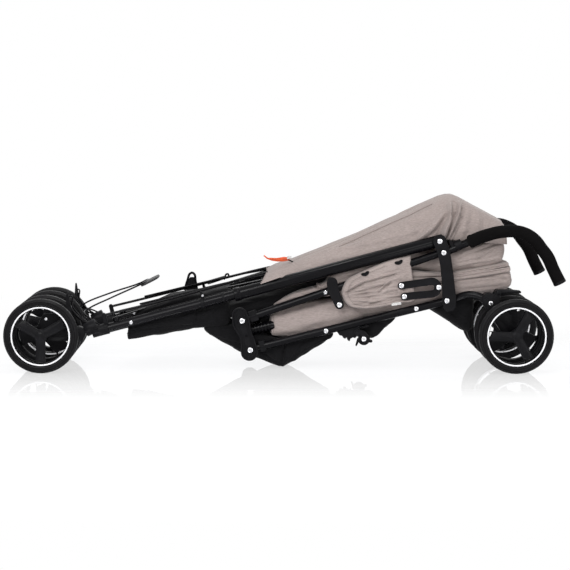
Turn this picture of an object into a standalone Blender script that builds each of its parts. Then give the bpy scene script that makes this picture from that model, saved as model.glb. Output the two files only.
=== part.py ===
"""Umbrella stroller, folded and lying on its wheels.

Metres, +Z up. +X runs from the front wheels to the handles, the near side is at -Y.
Each side frame lies in a plane parallel to XZ, and its pieces are placed from the front
axle up the leg, over the hinge plate, down the push tube and back along the rear leg.
"""
import math

import bmesh
import bpy
from mathutils import Matrix, Vector

MM = 0.001
GAP = 0.3 * MM

# Wheels
WHEEL_RADIUS = 75 * MM
TYRE_WIDTH = 28 * MM
TYRE_HEIGHT = 14 * MM
RIM_WALL = 6 * MM
RIM_WIDTH = 22 * MM
SPOKE_COUNT = 3
SPOKE_WIDTH = 17 * MM
SPOKE_THICKNESS = 9 * MM
HUB_RADIUS = 13 * MM
HUB_INNER = 12 * MM
HUB_OUTER = 12 * MM
AXLE_RADIUS = 4 * MM
AXLE_IN_HUB = 18 * MM
PAIR_HALF_GAP = 42 * MM
FRONT_AXLE_X = -489.2 * MM
REAR_AXLE_X = 462 * MM
REAR_HALF_TRACK = 118 * MM
WHEEL_STEPS = 28

# Front caster: angles are measured up from +X
SWIVEL_ANGLE = math.radians(25)
TRAIL = 30 * MM
TYRE_CLEARANCE = 5 * MM
STEM_RADIUS = 6 * MM
STEM_LENGTH = 18 * MM
FORK_WIDTH = 26 * MM
FORK_BOSS_RADIUS = 13 * MM
FORK_HEAD_RADIUS = 15 * MM
SOCKET_RADIUS = 14 * MM
SOCKET_HEIGHT = 26 * MM
SOCKET_SLEEVE = 34 * MM
SOCKET_WALL = 2 * MM
LEG_DROP = 10 * MM

# Tubes of one side frame
TUBE_HALF_SPACING = 94 * MM
LEG_ANGLE = math.radians(14.75)
LEG_SPAN = 726.5 * MM
LEG_RADIUS = 9.5 * MM
SLEEVE_RADIUS = 12.5 * MM
SLEEVE_LENGTH = 428 * MM
COLLAR_LENGTH = 13 * MM
COLLAR_LIP = 1.2 * MM
TUBE_END = 12 * MM
PUSH_ANGLE = math.radians(18.63)
PUSH_SPAN = 429.5 * MM
PUSH_RADIUS = 8 * MM
GRIP_RADIUS = 13 * MM
KNUCKLE_REACH = (16.4 * MM, -59.4 * MM)
REAR_ANGLE = math.radians(13.8)
REAR_STRAIGHT = 426 * MM
REAR_RADIUS = 8 * MM
REAR_CREST = (-37 * MM, 9 * MM)
REAR_TIP_ANGLE = math.radians(-14)

# Flat fittings outside the tubes
PLATE = 3 * MM
SADDLE_PLATE = 4 * MM
KNUCKLE_PLATE = 10 * MM
PLATE_B = (8 * MM, -23.2 * MM)
PLATE_CATCH = (15 * MM, -120.3 * MM)
CATCH_CLEARANCE = 0.8 * MM
STAY_PIN = (-1.5 * MM, -93.2 * MM)
STAY_UPPER = (-77 * MM, -90 * MM)
STAY_LOWER = (-71 * MM, -112 * MM)
SADDLE_FROM_D = 196 * MM
SADDLE_LUG = (11 * MM, -31 * MM)
PIN_RADIUS = 3 * MM
PIN_HEAD_RADIUS = 5.4 * MM
PIN_HEAD_HEIGHT = 2.6 * MM
HEAD_SINK = 0.4 * MM

# Cross bars on the front legs and struts under the rear legs
SPREAD = 150 * MM
BAR_WIDTH = 11 * MM
BAR_THICKNESS = 2.5 * MM
BAR_LENGTH = 372 * MM
BAR_FOOT_FROM_LEG_FOOT = 53.2 * MM
BAR_FOOT_RADIUS = 7 * MM
STRUT_WIDTH = 13 * MM
STRUT_THICKNESS = 3 * MM
STRUT_PIN_FROM_E = 240 * MM

# Rear housing and foot brake
HOUSING_WIDTH = 30 * MM
HOUSING_TOP = (-51 * MM, 70 * MM)
HOUSING_RADIUS = 15 * MM
BRAKE_PIVOT = (-33 * MM, 85 * MM)
BRAKE_REACH = (44 * MM, 1 * MM)
BRAKE_WIDTH = 22 * MM
BRAKE_THICKNESS = 5 * MM
BRAKE_EAR = 3 * MM

# Cloth: widest half widths, which reach a little past the inner faces of the tubes that carry it
CANOPY_HALF = TUBE_HALF_SPACING - SLEEVE_RADIUS + 5 * MM
SEAT_HALF = TUBE_HALF_SPACING - PUSH_RADIUS + 7 * MM
HANGING_HALF = TUBE_HALF_SPACING - LEG_RADIUS + 8 * MM

DARK_PAINT = ((0.020, 0.020, 0.023), 0.38, 0.4)
DARK_PLASTIC = ((0.045, 0.045, 0.050), 0.55, 0.0)
BLACK_PLASTIC = ((0.016, 0.016, 0.018), 0.45, 0.0)
FOAM = ((0.022, 0.022, 0.022), 0.9, 0.0)
TYRE_BLACK = ((0.020, 0.020, 0.021), 0.7, 0.0)
BRIGHT_STEEL = ((0.75, 0.76, 0.78), 0.25, 1.0)
BEIGE_CLOTH = ((0.50, 0.43, 0.38), 0.9, 0.0)
BLACK_CLOTH = ((0.018, 0.018, 0.020), 0.85, 0.0)

SIDES = {"near": -1.0, "far": 1.0}


def along(point, angle, distance):
    """Point of the XZ plane at a distance from another, in the direction of an angle."""
    return (point[0] + math.cos(angle) * distance, point[1] + math.sin(angle) * distance)


def offset(point, step):
    return (point[0] + step[0], point[1] + step[1])


QUARTER = math.pi / 2
FRONT_AXLE = (FRONT_AXLE_X, WHEEL_RADIUS)
REAR_AXLE = (REAR_AXLE_X, WHEEL_RADIUS)
STEM_RISE = WHEEL_RADIUS + TYRE_CLEARANCE
STEM_BASE = along(along(FRONT_AXLE, SWIVEL_ANGLE - QUARTER, TRAIL), SWIVEL_ANGLE, STEM_RISE)
SOCKET_MIDDLE = along(STEM_BASE, SWIVEL_ANGLE, SOCKET_HEIGHT / 2)
LEG_FOOT = along(SOCKET_MIDDLE, LEG_ANGLE - QUARTER, LEG_DROP)
PIN_A = along(LEG_FOOT, LEG_ANGLE, LEG_SPAN)
PIN_B = offset(PIN_A, PLATE_B)
PIN_D = along(PIN_B, PUSH_ANGLE, -PUSH_SPAN)
PIN_E = offset(PIN_D, KNUCKLE_REACH)
CATCH = offset(PIN_A, PLATE_CATCH)
SADDLE_PIN = along(PIN_D, PUSH_ANGLE, SADDLE_FROM_D)
REAR_BEND = along(PIN_E, REAR_ANGLE, REAR_STRAIGHT)
HOUSING_HEAD = offset(REAR_AXLE, HOUSING_TOP)
BRAKE_PIN = offset(REAR_AXLE, BRAKE_PIVOT)

# The cross bars reach from pins on the sleeves down to feet that rest on the legs
BAR_SWEEP = 2 * (TUBE_HALF_SPACING - 2 * MM)
BAR_ANGLE = math.asin(BAR_SWEEP / BAR_LENGTH)
BAR_PIN_FROM_A = LEG_SPAN - BAR_FOOT_FROM_LEG_FOOT - BAR_LENGTH * math.cos(BAR_ANGLE)

# Layers of one side, as distances from the middle plane
SLEEVE_OUTSIDE = TUBE_HALF_SPACING + SLEEVE_RADIUS
PUSH_OUTSIDE = TUBE_HALF_SPACING + PUSH_RADIUS
STAY_INSIDE = PUSH_OUTSIDE + 1.2 * MM
PLATE_INSIDE = max(SLEEVE_OUTSIDE, STAY_INSIDE + PLATE) + GAP
KNUCKLE_INSIDE = PUSH_OUTSIDE + GAP


def clear_scene():
    for obj in list(bpy.data.objects):
        bpy.data.objects.remove(obj, do_unlink=True)
    for block in list(bpy.data.collections):
        bpy.data.collections.remove(block)


def collection(name):
    made = bpy.data.collections.new(name)
    bpy.context.scene.collection.children.link(made)
    return made


clear_scene()
PARTS = collection("stroller")
CUTTERS = collection("cutters")


def finish_material(obj, look):
    colour, roughness, metallic = look
    material = bpy.data.materials.new(obj.name)
    material.use_nodes = True
    shader = material.node_tree.nodes["Principled BSDF"]
    shader.inputs["Base Color"].default_value = (*colour, 1.0)
    shader.inputs["Roughness"].default_value = roughness
    shader.inputs["Metallic"].default_value = metallic
    obj.data.materials.clear()
    obj.data.materials.append(material)


def add_object(name, data, look=None, where=None):
    obj = bpy.data.objects.new(name, data)
    (where or PARTS).objects.link(obj)
    if look:
        finish_material(obj, look)
    return obj


def add_cutter(name, data):
    obj = add_object(name, data, where=CUTTERS)
    obj.hide_render = True
    obj.display_type = "WIRE"
    return obj


def smooth(obj, angle=35):
    obj.data.shade_smooth()
    obj.data.set_sharp_from_angle(angle=math.radians(angle))


def baked_mesh(obj):
    """Plain mesh of an object with its modifiers, welded; the object is removed."""
    bpy.context.view_layer.update()
    graph = bpy.context.evaluated_depsgraph_get()
    mesh = bpy.data.meshes.new_from_object(obj.evaluated_get(graph), depsgraph=graph)
    work = bmesh.new()
    work.from_mesh(mesh)
    bmesh.ops.remove_doubles(work, verts=work.verts, dist=0.01 * MM)
    bmesh.ops.recalc_face_normals(work, faces=work.faces)
    work.to_mesh(mesh)
    work.free()
    bpy.data.objects.remove(obj, do_unlink=True)
    return mesh


def boolean(obj, other, operation):
    step = obj.modifiers.new(other.name, "BOOLEAN")
    step.operation = operation
    step.object = other


def cylinder_mesh(radius, length, sides=16, name="cylinder"):
    """Cylinder along Z, centred on the origin, with a corner at the bottom of the circle."""
    mesh = bpy.data.meshes.new(name)
    work = bmesh.new()
    bmesh.ops.create_cone(work, cap_ends=True, segments=sides, radius1=radius, radius2=radius, depth=length)
    work.to_mesh(mesh)
    work.free()
    return mesh


def place_between(obj, start, end):
    start, end = Vector(start), Vector(end)
    obj.location = (start + end) / 2
    obj.rotation_euler = (end - start).to_track_quat("Z", "Y").to_euler()


def rod(name, start, end, radius, look=None, sides=16, cutter=False):
    """Round bar between two points."""
    length = (Vector(end) - Vector(start)).length
    mesh = cylinder_mesh(radius, length, sides, name)
    obj = add_cutter(name, mesh) if cutter else add_object(name, mesh, look)
    place_between(obj, start, end)
    if not cutter:
        smooth(obj)
    return obj


def drill(obj, point, depth_from, depth_to, radius):
    """Round hole along Y through an object, from one depth to another."""
    start = (point[0], depth_from, point[1])
    end = (point[0], depth_to, point[1])
    name = f"hole_{obj.name}_{len(obj.modifiers)}"
    boolean(obj, rod(name, start, end, radius, sides=12, cutter=True), "DIFFERENCE")


def turned_mesh(name, profile, steps, closed=False):
    """Body turned about Z from (radius, height) points that run down its outer side."""
    mesh = bpy.data.meshes.new(name)
    count = len(profile)
    edges = [(i, i + 1) for i in range(count - 1)]
    if closed:
        edges.append((count - 1, 0))
    mesh.from_pydata([(radius, 0.0, height) for radius, height in profile], edges, [])
    obj = add_object(name, mesh)
    screw = obj.modifiers.new("turn", "SCREW")
    screw.steps = steps
    screw.render_steps = steps
    screw.use_merge_vertices = True
    screw.merge_threshold = 0.00005
    screw.use_smooth_shade = True
    return baked_mesh(obj)


def arc(centre, radius, start, end, count):
    """Points round an arc, angles in radians."""
    return [along(centre, start + (end - start) * i / (count - 1), radius) for i in range(count)]


def strap_outline(stations, cap_points=7):
    """Closed outline of a strap with round ends, from (x, z, half width) along its middle."""
    left, right = [], []
    last = len(stations) - 1
    for i, (x, z, half) in enumerate(stations):
        before, after = stations[max(i - 1, 0)], stations[min(i + 1, last)]
        heading = math.atan2(after[1] - before[1], after[0] - before[0])
        if i in (0, last):
            turn = heading - QUARTER if i == last else heading + QUARTER
            cap = arc((x, z), half, turn, turn + math.pi, cap_points)
            (right if i == last else left).extend(cap)
        else:
            right.append(along((x, z), heading - QUARTER, half))
            left.append(along((x, z), heading + QUARTER, half))
    return left[:cap_points] + right + left[:cap_points - 1:-1]


def outline_object(name, outline, middle, thickness, look=None, holes=(), cutter=False):
    """Flat piece in a plane parallel to XZ: an outline, round holes and a thickness."""
    curve = bpy.data.curves.new(name, "CURVE")
    curve.dimensions = "2D"
    curve.fill_mode = "BOTH"
    curve.extrude = thickness / 2
    rings = [outline] + [arc(centre, radius, 0, math.tau * 11 / 12, 12) for centre, radius in holes]
    for ring in rings:
        spline = curve.splines.new("POLY")
        spline.points.add(len(ring) - 1)
        for point, (x, z) in zip(spline.points, ring):
            point.co = (x, z, 0.0, 1.0)
        spline.use_cyclic_u = True
    mesh = baked_mesh(add_object(f"{name}_outline", curve))
    mesh.name = name
    obj = add_cutter(name, mesh) if cutter else add_object(name, mesh, look)
    obj.rotation_euler = (QUARTER, 0.0, 0.0)
    obj.location = (0.0, middle, 0.0)
    return obj


def strap(name, stations, side, inside, thickness, look, holes=(), bevel=0.0):
    """Strap-shaped plate on one side frame, its inner face at a distance from the middle."""
    obj = outline_object(name, strap_outline(stations), side * (inside + thickness / 2),
                         thickness, look, [(hole, PIN_RADIUS + GAP) for hole in holes])
    if bevel:
        edge = obj.modifiers.new("edge", "BEVEL")
        edge.width = bevel
        edge.segments = 2
        edge.limit_method = "ANGLE"
        edge.angle_limit = math.radians(60)
    smooth(obj, 30)
    return obj


def bent_tube(name, points, radius, sides_level=2, resolution=5, cutter=False, look=None):
    """Tube swept along a smooth path; its points are real places on the path."""
    curve = bpy.data.curves.new(name, "CURVE")
    curve.dimensions = "3D"
    curve.bevel_depth = radius
    curve.bevel_resolution = sides_level
    curve.use_fill_caps = True
    curve.resolution_u = resolution
    spline = curve.splines.new("BEZIER")
    spline.bezier_points.add(len(points) - 1)
    for knot, point in zip(spline.bezier_points, points):
        knot.co = point
        knot.handle_left_type = "AUTO"
        knot.handle_right_type = "AUTO"
    mesh = baked_mesh(add_object(f"{name}_path", curve))
    mesh.name = name
    if cutter:
        return add_cutter(name, mesh)
    obj = add_object(name, mesh, look)
    smooth(obj, 50)
    return obj


def pin_profile(length):
    """Rivet: domed head above z = 0, shank below it."""
    dome = [(PIN_HEAD_RADIUS * math.sin(a), PIN_HEAD_HEIGHT * math.cos(a)) for a in (0.0, 0.75, 1.35)]
    return dome + [(PIN_HEAD_RADIUS, 0.0), (PIN_RADIUS, 0.0), (PIN_RADIUS, -length), (0.0, -length)]


def pin_mesh(seat, outward, length):
    """Rivet mesh with its head seated at a place and its shank running the other way."""
    mesh = turned_mesh("rivet", pin_profile(length), 12)
    turn = Vector(outward).to_track_quat("Z", "Y").to_matrix().to_4x4()
    mesh.transform(Matrix.Translation(seat) @ turn)
    return mesh


def loose_pin(name, seat, outward, length):
    """Rivet that is a piece of its own."""
    obj = add_object(name, pin_mesh(seat, outward, length), BRIGHT_STEEL)
    smooth(obj, 40)
    return obj


def set_rivet(obj, seat, outward, length):
    """Rivet fixed in a piece: its head is sunk a little so that the two join."""
    sunk = Vector(seat) - Vector(outward).normalized() * HEAD_SINK
    boolean(obj, add_cutter(f"rivet_{obj.name}_{len(obj.modifiers)}", pin_mesh(sunk, outward, length)), "UNION")


def wheel_meshes():
    """Rim with hub and spokes, and tyre, turned about Z with the outer side at +Z."""
    tyre_inside = WHEEL_RADIUS - TYRE_HEIGHT
    rim_radius = tyre_inside - GAP
    half, round_off = TYRE_WIDTH / 2, TYRE_HEIGHT * 0.62
    shoulder, crown = half * 0.9, half * 0.4
    tread = [(tyre_inside, shoulder), (WHEEL_RADIUS - round_off, half), (WHEEL_RADIUS, crown),
             (WHEEL_RADIUS, -crown), (WHEEL_RADIUS - round_off, -half), (tyre_inside, -shoulder)]
    tyre = turned_mesh("tyre", tread, WHEEL_STEPS, closed=True)

    wall, width = rim_radius - RIM_WALL, RIM_WIDTH / 2
    band = [(wall, width), (rim_radius, width), (rim_radius, -width), (wall, -width)]
    rim = add_object("rim_blank", turned_mesh("rim", band, WHEEL_STEPS, closed=True))
    dome = [(0.0, HUB_OUTER), (HUB_RADIUS * 0.6, HUB_OUTER * 0.93), (HUB_RADIUS, HUB_OUTER * 0.6),
            (HUB_RADIUS, -HUB_INNER), (0.0, -HUB_INNER)]
    boolean(rim, add_cutter("hub_blank", turned_mesh("hub", dome, 12)), "UNION")
    reach = wall + RIM_WALL / 2
    for number in range(SPOKE_COUNT):
        mesh = bpy.data.meshes.new("spoke")
        work = bmesh.new()
        bmesh.ops.create_cube(work, size=1.0, matrix=Matrix.Diagonal((reach, SPOKE_WIDTH, SPOKE_THICKNESS, 1.0)))
        work.to_mesh(mesh)
        work.free()
        spoke = add_cutter(f"spoke_blank_{number}", mesh)
        angle = math.tau * number / SPOKE_COUNT
        spoke.location = (math.cos(angle) * reach / 2, math.sin(angle) * reach / 2, HUB_OUTER * 0.5 - SPOKE_THICKNESS / 2)
        spoke.rotation_euler = (0.0, 0.0, angle)
        edge = spoke.modifiers.new("edge", "BEVEL")
        edge.width = SPOKE_THICKNESS * 0.3
        edge.segments = 1
        boolean(rim, spoke, "UNION")
    bore = add_cutter("axle_bore", cylinder_mesh(AXLE_RADIUS + GAP, AXLE_IN_HUB * 2, 12, "axle_bore"))
    bore.location = (0.0, 0.0, -HUB_INNER)
    boolean(rim, bore, "DIFFERENCE")
    mesh = baked_mesh(rim)
    for cutter in list(CUTTERS.objects):
        bpy.data.objects.remove(cutter, do_unlink=True)
    return mesh, tyre


def add_wheel(label, meshes, axle, pair_y, side_of_pair, spoke_angle):
    """One rim and tyre of a pair; the outer side faces away from the fork."""
    rim_mesh, tyre_mesh = meshes
    centre = (axle[0], pair_y + side_of_pair * PAIR_HALF_GAP, axle[1])
    made = []
    for kind, mesh, look in (("wheel", rim_mesh, BLACK_PLASTIC), ("tyre", tyre_mesh, TYRE_BLACK)):
        obj = add_object(f"{kind}_{label}", mesh.copy(), look)
        obj.location = centre
        facing = Matrix.Rotation(-side_of_pair * QUARTER, 4, "X")
        obj.rotation_euler = (facing @ Matrix.Rotation(spoke_angle, 4, "Z")).to_euler()
        smooth(obj, 40)
        made.append(obj)
    return made


def wheel_pair(end, side_name, meshes, axle, half_track, spoke_angles):
    """Two wheels pressed on one axle."""
    pair_y = SIDES[side_name] * half_track
    pieces = []
    for place, direction in (("outer", SIDES[side_name]), ("inner", -SIDES[side_name])):
        label = f"{end}_{side_name}_{place}"
        spoke_angle = spoke_angles[place] if direction < 0 else math.pi - spoke_angles[place]
        pieces += add_wheel(label, meshes, axle, pair_y, direction, spoke_angle)
    reach = PAIR_HALF_GAP - HUB_INNER + AXLE_IN_HUB - GAP
    shaft = rod(f"axle_{end}_{side_name}", (axle[0], pair_y - reach, axle[1]),
                (axle[0], pair_y + reach, axle[1]), AXLE_RADIUS, BRIGHT_STEEL)
    return pieces + [shaft]


def hull_outline(start, start_radius, end, end_radius, count=9):
    """Outline round two circles."""
    heading = math.atan2(end[1] - start[1], end[0] - start[0])
    return (arc(end, end_radius, heading - QUARTER, heading + QUARTER, count)
            + arc(start, start_radius, heading + QUARTER, heading + 3 * QUARTER, count))


def caster(side_name):
    """Fork that swivels in the leg's socket."""
    y = SIDES[side_name] * TUBE_HALF_SPACING
    head = along(STEM_BASE, SWIVEL_ANGLE, -FORK_HEAD_RADIUS - GAP)
    fork = outline_object(f"fork_{side_name}", hull_outline(FRONT_AXLE, FORK_BOSS_RADIUS, head, FORK_HEAD_RADIUS),
                          y, FORK_WIDTH, BLACK_PLASTIC)
    stem_end = along(STEM_BASE, SWIVEL_ANGLE, STEM_LENGTH)
    stem = rod(f"stem_{side_name}", (head[0], y, head[1]), (stem_end[0], y, stem_end[1]), STEM_RADIUS, cutter=True)
    boolean(fork, stem, "UNION")
    drill(fork, FRONT_AXLE, y - FORK_WIDTH, y + FORK_WIDTH, AXLE_RADIUS + GAP)
    smooth(fork, 30)
    return fork


def leg_socket(side_name):
    """Barrel for the caster's stem with a sleeve for the end of the leg."""
    y = SIDES[side_name] * TUBE_HALF_SPACING
    low = along(STEM_BASE, SWIVEL_ANGLE, GAP)
    high = along(STEM_BASE, SWIVEL_ANGLE, SOCKET_HEIGHT)
    socket = rod(f"leg_socket_{side_name}", (low[0], y, low[1]), (high[0], y, high[1]), SOCKET_RADIUS,
                 BLACK_PLASTIC, sides=20)
    tip = along(LEG_FOOT, LEG_ANGLE, SOCKET_SLEEVE)
    boolean(socket, rod(f"sleeve_blank_{side_name}", (LEG_FOOT[0], y, LEG_FOOT[1]), (tip[0], y, tip[1]),
                        LEG_RADIUS + SOCKET_WALL, sides=20, cutter=True), "UNION")
    below = along(STEM_BASE, SWIVEL_ANGLE, -STEM_LENGTH)
    above = along(STEM_BASE, SWIVEL_ANGLE, STEM_LENGTH + GAP)
    boolean(socket, rod(f"stem_bore_{side_name}", (below[0], y, below[1]), (above[0], y, above[1]),
                        STEM_RADIUS + GAP, cutter=True), "DIFFERENCE")
    seat = leg_end()
    beyond = along(tip, LEG_ANGLE, SOCKET_SLEEVE)
    boolean(socket, rod(f"leg_bore_{side_name}", (seat[0], y, seat[1]), (beyond[0], y, beyond[1]),
                        LEG_RADIUS + GAP, cutter=True), "DIFFERENCE")
    return socket


def leg_end():
    """Lowest point of the leg's axis, clear of the caster's stem."""
    return along(LEG_FOOT, LEG_ANGLE, SOCKET_RADIUS + LEG_RADIUS)


def front_leg(side_name):
    """Thin leg tube, held in the thick sleeve tube that carries the hinge plate."""
    y = SIDES[side_name] * TUBE_HALF_SPACING
    sleeve_foot = along(PIN_A, LEG_ANGLE, TUBE_END - SLEEVE_LENGTH)
    sleeve_top = along(PIN_A, LEG_ANGLE, TUBE_END)
    foot = along(leg_end(), LEG_ANGLE, GAP)
    held = along(sleeve_foot, LEG_ANGLE, COLLAR_LENGTH * 4)
    leg = rod(f"front_leg_{side_name}", (foot[0], y, foot[1]), (held[0], y, held[1]), LEG_RADIUS, DARK_PAINT)
    sleeve = rod(f"leg_sleeve_{side_name}", (sleeve_foot[0], y, sleeve_foot[1]),
                 (sleeve_top[0], y, sleeve_top[1]), SLEEVE_RADIUS, DARK_PAINT, sides=20)
    collar_end = along(sleeve_foot, LEG_ANGLE, -COLLAR_LENGTH)
    collar_top = along(sleeve_foot, LEG_ANGLE, COLLAR_LENGTH / 2)
    boolean(sleeve, rod(f"collar_blank_{side_name}", (collar_end[0], y, collar_end[1]),
                        (collar_top[0], y, collar_top[1]), SLEEVE_RADIUS + COLLAR_LIP, sides=20, cutter=True), "UNION")
    mouth = along(collar_end, LEG_ANGLE, -COLLAR_LENGTH)
    depth = along(held, LEG_ANGLE, GAP)
    boolean(sleeve, rod(f"sleeve_bore_{side_name}", (mouth[0], y, mouth[1]), (depth[0], y, depth[1]),
                        LEG_RADIUS + GAP, cutter=True), "DIFFERENCE")
    drill(sleeve, PIN_A, y - 2 * SLEEVE_RADIUS, y + 2 * SLEEVE_RADIUS, PIN_RADIUS + GAP)
    bar_top = BAR_HEIGHTS[side_name] + BAR_THICKNESS + GAP + HEAD_SINK
    set_rivet(sleeve, leg_frame_point(BAR_PIN_FROM_A, y, bar_top), leg_frame_point(0, y, 1) - leg_frame_point(0, y, 0),
              bar_top - SLEEVE_RADIUS * 0.7)
    smooth(sleeve, 30)
    return [leg, sleeve]


def push_path(side_name):
    """Middle of the push tube from the knuckle to the end of its handle."""
    side = SIDES[side_name]
    low = along(PIN_D, PUSH_ANGLE, -TUBE_END)
    flare_start = along(PIN_B, PUSH_ANGLE, 40 * MM)
    crook = [(86, 34.4, 120), (113, 43, 134), (140.4, 44.8, 139), (160, 39.6, 140), (179, 27.4, 140),
             (193, 10, 140), (206, -8, 140), (216.5, -31, 140), (231, -60, 140)]
    points = [(low[0], side * TUBE_HALF_SPACING, low[1])]
    points += [(PIN_B[0], side * TUBE_HALF_SPACING, PIN_B[1])]
    points += [(flare_start[0], side * (TUBE_HALF_SPACING + 3 * MM), flare_start[1])]
    points += [(PIN_B[0] + x * MM, side * y * MM, PIN_B[1] + z * MM) for x, z, y in crook]
    return points


GRIP_FROM = 3


def push_tube(side_name):
    """Push tube with its cane handle, and the foam grip over the handle."""
    y = SIDES[side_name] * TUBE_HALF_SPACING
    points = push_path(side_name)
    tube = bent_tube(f"push_tube_{side_name}", points[:-1], PUSH_RADIUS, look=DARK_PAINT, resolution=4)
    for pin in (PIN_B, PIN_D, SADDLE_PIN):
        drill(tube, pin, y - 2 * PUSH_RADIUS, y + 2 * PUSH_RADIUS, PIN_RADIUS + GAP)
    return tube


def grip(side_name):
    points = push_path(side_name)
    foam = bent_tube(f"grip_{side_name}", points[GRIP_FROM:], GRIP_RADIUS, look=FOAM, resolution=3)
    bore = bent_tube(f"grip_bore_{side_name}", points[GRIP_FROM - 1:-1], PUSH_RADIUS + 2 * GAP, resolution=4,
                     cutter=True)
    boolean(foam, bore, "DIFFERENCE")
    return foam


def hinge_plate(side_name):
    """Curved plate riveted to the leg's top and the push tube; its stud rests on the rear leg."""
    shape = [(0, 0, 13.5), (8, -23.2, 12.8), (13.6, -52.7, 12.1), (17.7, -90, 13), (19.6, -115, 14), (20.2, -129, 13)]
    stations = [(PIN_A[0] + x * MM, PIN_A[1] + z * MM, half * MM) for x, z, half in shape]
    side = SIDES[side_name]
    plate = strap(f"hinge_plate_{side_name}", stations, side, PLATE_INSIDE, PLATE, DARK_PLASTIC)
    face = PLATE_INSIDE + PLATE
    to_axis = face - TUBE_HALF_SPACING
    reaches = ((PIN_A, to_axis + SLEEVE_RADIUS), (PIN_B, to_axis + PUSH_RADIUS), (CATCH, to_axis - REAR_RADIUS - CATCH_CLEARANCE))
    for pin, reach in reaches:
        set_rivet(plate, (pin[0], side * face, pin[1]), (0.0, side, 0.0), reach - HEAD_SINK)
    return plate


def stay(side_name):
    """Fork-shaped stay riveted behind the hinge plate; its arms reach back along the cloth."""
    turn = 13 * MM
    bend = offset(PIN_A, (-16 * MM, -94 * MM))
    path = [offset(PIN_A, STAY_UPPER)] + arc(bend, turn, QUARTER, -QUARTER, 7) + [offset(PIN_A, STAY_LOWER)]
    side = SIDES[side_name]
    arms = outline_object(f"stay_{side_name}", strap_outline([(x, z, 7.5 * MM) for x, z in path]),
                          side * (STAY_INSIDE + PLATE / 2), PLATE, DARK_PLASTIC)
    for place in (STAY_UPPER, STAY_LOWER, STAY_PIN):
        pin = offset(PIN_A, place)
        set_rivet(arms, (pin[0], side * (STAY_INSIDE + PLATE), pin[1]), (0.0, side, 0.0), PLATE / 2)
    smooth(arms, 30)
    return arms


def saddle(side_name):
    """Plate across the push tube with a lug below it."""
    side = SIDES[side_name]
    shape = [(-4, 14, 11), (-2, 2, 11), (4, -14, 10), (11, -31, 9)]
    stations = [(SADDLE_PIN[0] + x * MM, SADDLE_PIN[1] + z * MM, half * MM) for x, z, half in shape]
    plate = strap(f"saddle_{side_name}", stations, side, PUSH_OUTSIDE + GAP, SADDLE_PLATE, DARK_PLASTIC)
    face = PUSH_OUTSIDE + GAP + SADDLE_PLATE
    through_tube = face - TUBE_HALF_SPACING + PUSH_RADIUS
    for pin, reach in ((SADDLE_PIN, through_tube), (offset(SADDLE_PIN, SADDLE_LUG), SADDLE_PLATE / 2)):
        set_rivet(plate, (pin[0], side * face, pin[1]), (0.0, side, 0.0), reach)
    return plate


def knuckle(side_name):
    """Waisted link between the lower end of the push tube and the end of the rear leg."""
    shape = [(-5, 10.6, 16), (-1.3, -6.2, 17.7), (6.2, -26.7, 13.5), (11.8, -45.4, 15), (14.6, -64, 17.4)]
    stations = [(PIN_D[0] + x * MM, PIN_D[1] + z * MM, half * MM) for x, z, half in shape]
    return strap(f"knuckle_{side_name}", stations, SIDES[side_name], KNUCKLE_INSIDE, KNUCKLE_PLATE,
                 DARK_PLASTIC, holes=(PIN_D, PIN_E), bevel=1.6 * MM)


def rear_path(side_name, beyond=0.0):
    """Middle of the rear leg: straight from the knuckle, then bent down and out into its housing."""
    side = SIDES[side_name]
    y = side * TUBE_HALF_SPACING
    low = along(PIN_E, REAR_ANGLE, -TUBE_END)
    mid = along(PIN_E, REAR_ANGLE, REAR_STRAIGHT * 0.7)
    crest = offset(HOUSING_HEAD, REAR_CREST)
    tip = along(HOUSING_HEAD, REAR_TIP_ANGLE, beyond)
    crest_y = side * (REAR_HALF_TRACK + TUBE_HALF_SPACING) / 2
    return [(low[0], y, low[1]), (mid[0], y, mid[1]), (REAR_BEND[0], y, REAR_BEND[1]),
            (crest[0], crest_y, crest[1]), (tip[0], side * REAR_HALF_TRACK, tip[1])]


def rear_leg(side_name):
    """Rear leg tube with the post that carries its strut."""
    y = SIDES[side_name] * TUBE_HALF_SPACING
    tube = bent_tube(f"rear_leg_{side_name}", rear_path(side_name), REAR_RADIUS, look=DARK_PAINT)
    drill(tube, PIN_E, y - 2 * REAR_RADIUS, y + 2 * REAR_RADIUS, PIN_RADIUS + GAP)
    strut_face = STRUT_DEPTHS[side_name] + STRUT_THICKNESS + GAP + HEAD_SINK
    set_rivet(tube, rear_frame_point(STRUT_PIN_FROM_E, y, -strut_face),
              rear_frame_point(0, y, -1) - rear_frame_point(0, y, 0), strut_face - REAR_RADIUS * 0.5)
    return tube


def rear_housing(side_name):
    """Housing between the rear wheels, with two ears for the foot brake."""
    side = SIDES[side_name]
    y = side * REAR_HALF_TRACK
    body = outline_object(f"rear_housing_{side_name}",
                          hull_outline(HOUSING_HEAD, HOUSING_RADIUS, REAR_AXLE, HOUSING_RADIUS + 3 * MM),
                          y, HOUSING_WIDTH, BLACK_PLASTIC)
    for number, ear_side in enumerate((-1.0, 1.0)):
        ear = outline_object(f"ear_{side_name}_{number}",
                             hull_outline(offset(HOUSING_HEAD, (8 * MM, -8 * MM)), 7 * MM, BRAKE_PIN, 6 * MM),
                             y + ear_side * (HOUSING_WIDTH - BRAKE_EAR) / 2, BRAKE_EAR, cutter=True)
        boolean(body, ear, "UNION")
    boolean(body, bent_tube(f"leg_seat_{side_name}", rear_path(side_name, MM), REAR_RADIUS + 2 * GAP, cutter=True),
            "DIFFERENCE")
    drill(body, REAR_AXLE, y - HOUSING_WIDTH, y + HOUSING_WIDTH, AXLE_RADIUS + GAP)
    drill(body, BRAKE_PIN, y - HOUSING_WIDTH, y + HOUSING_WIDTH, PIN_RADIUS + GAP)
    smooth(body, 30)
    return body


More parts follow.
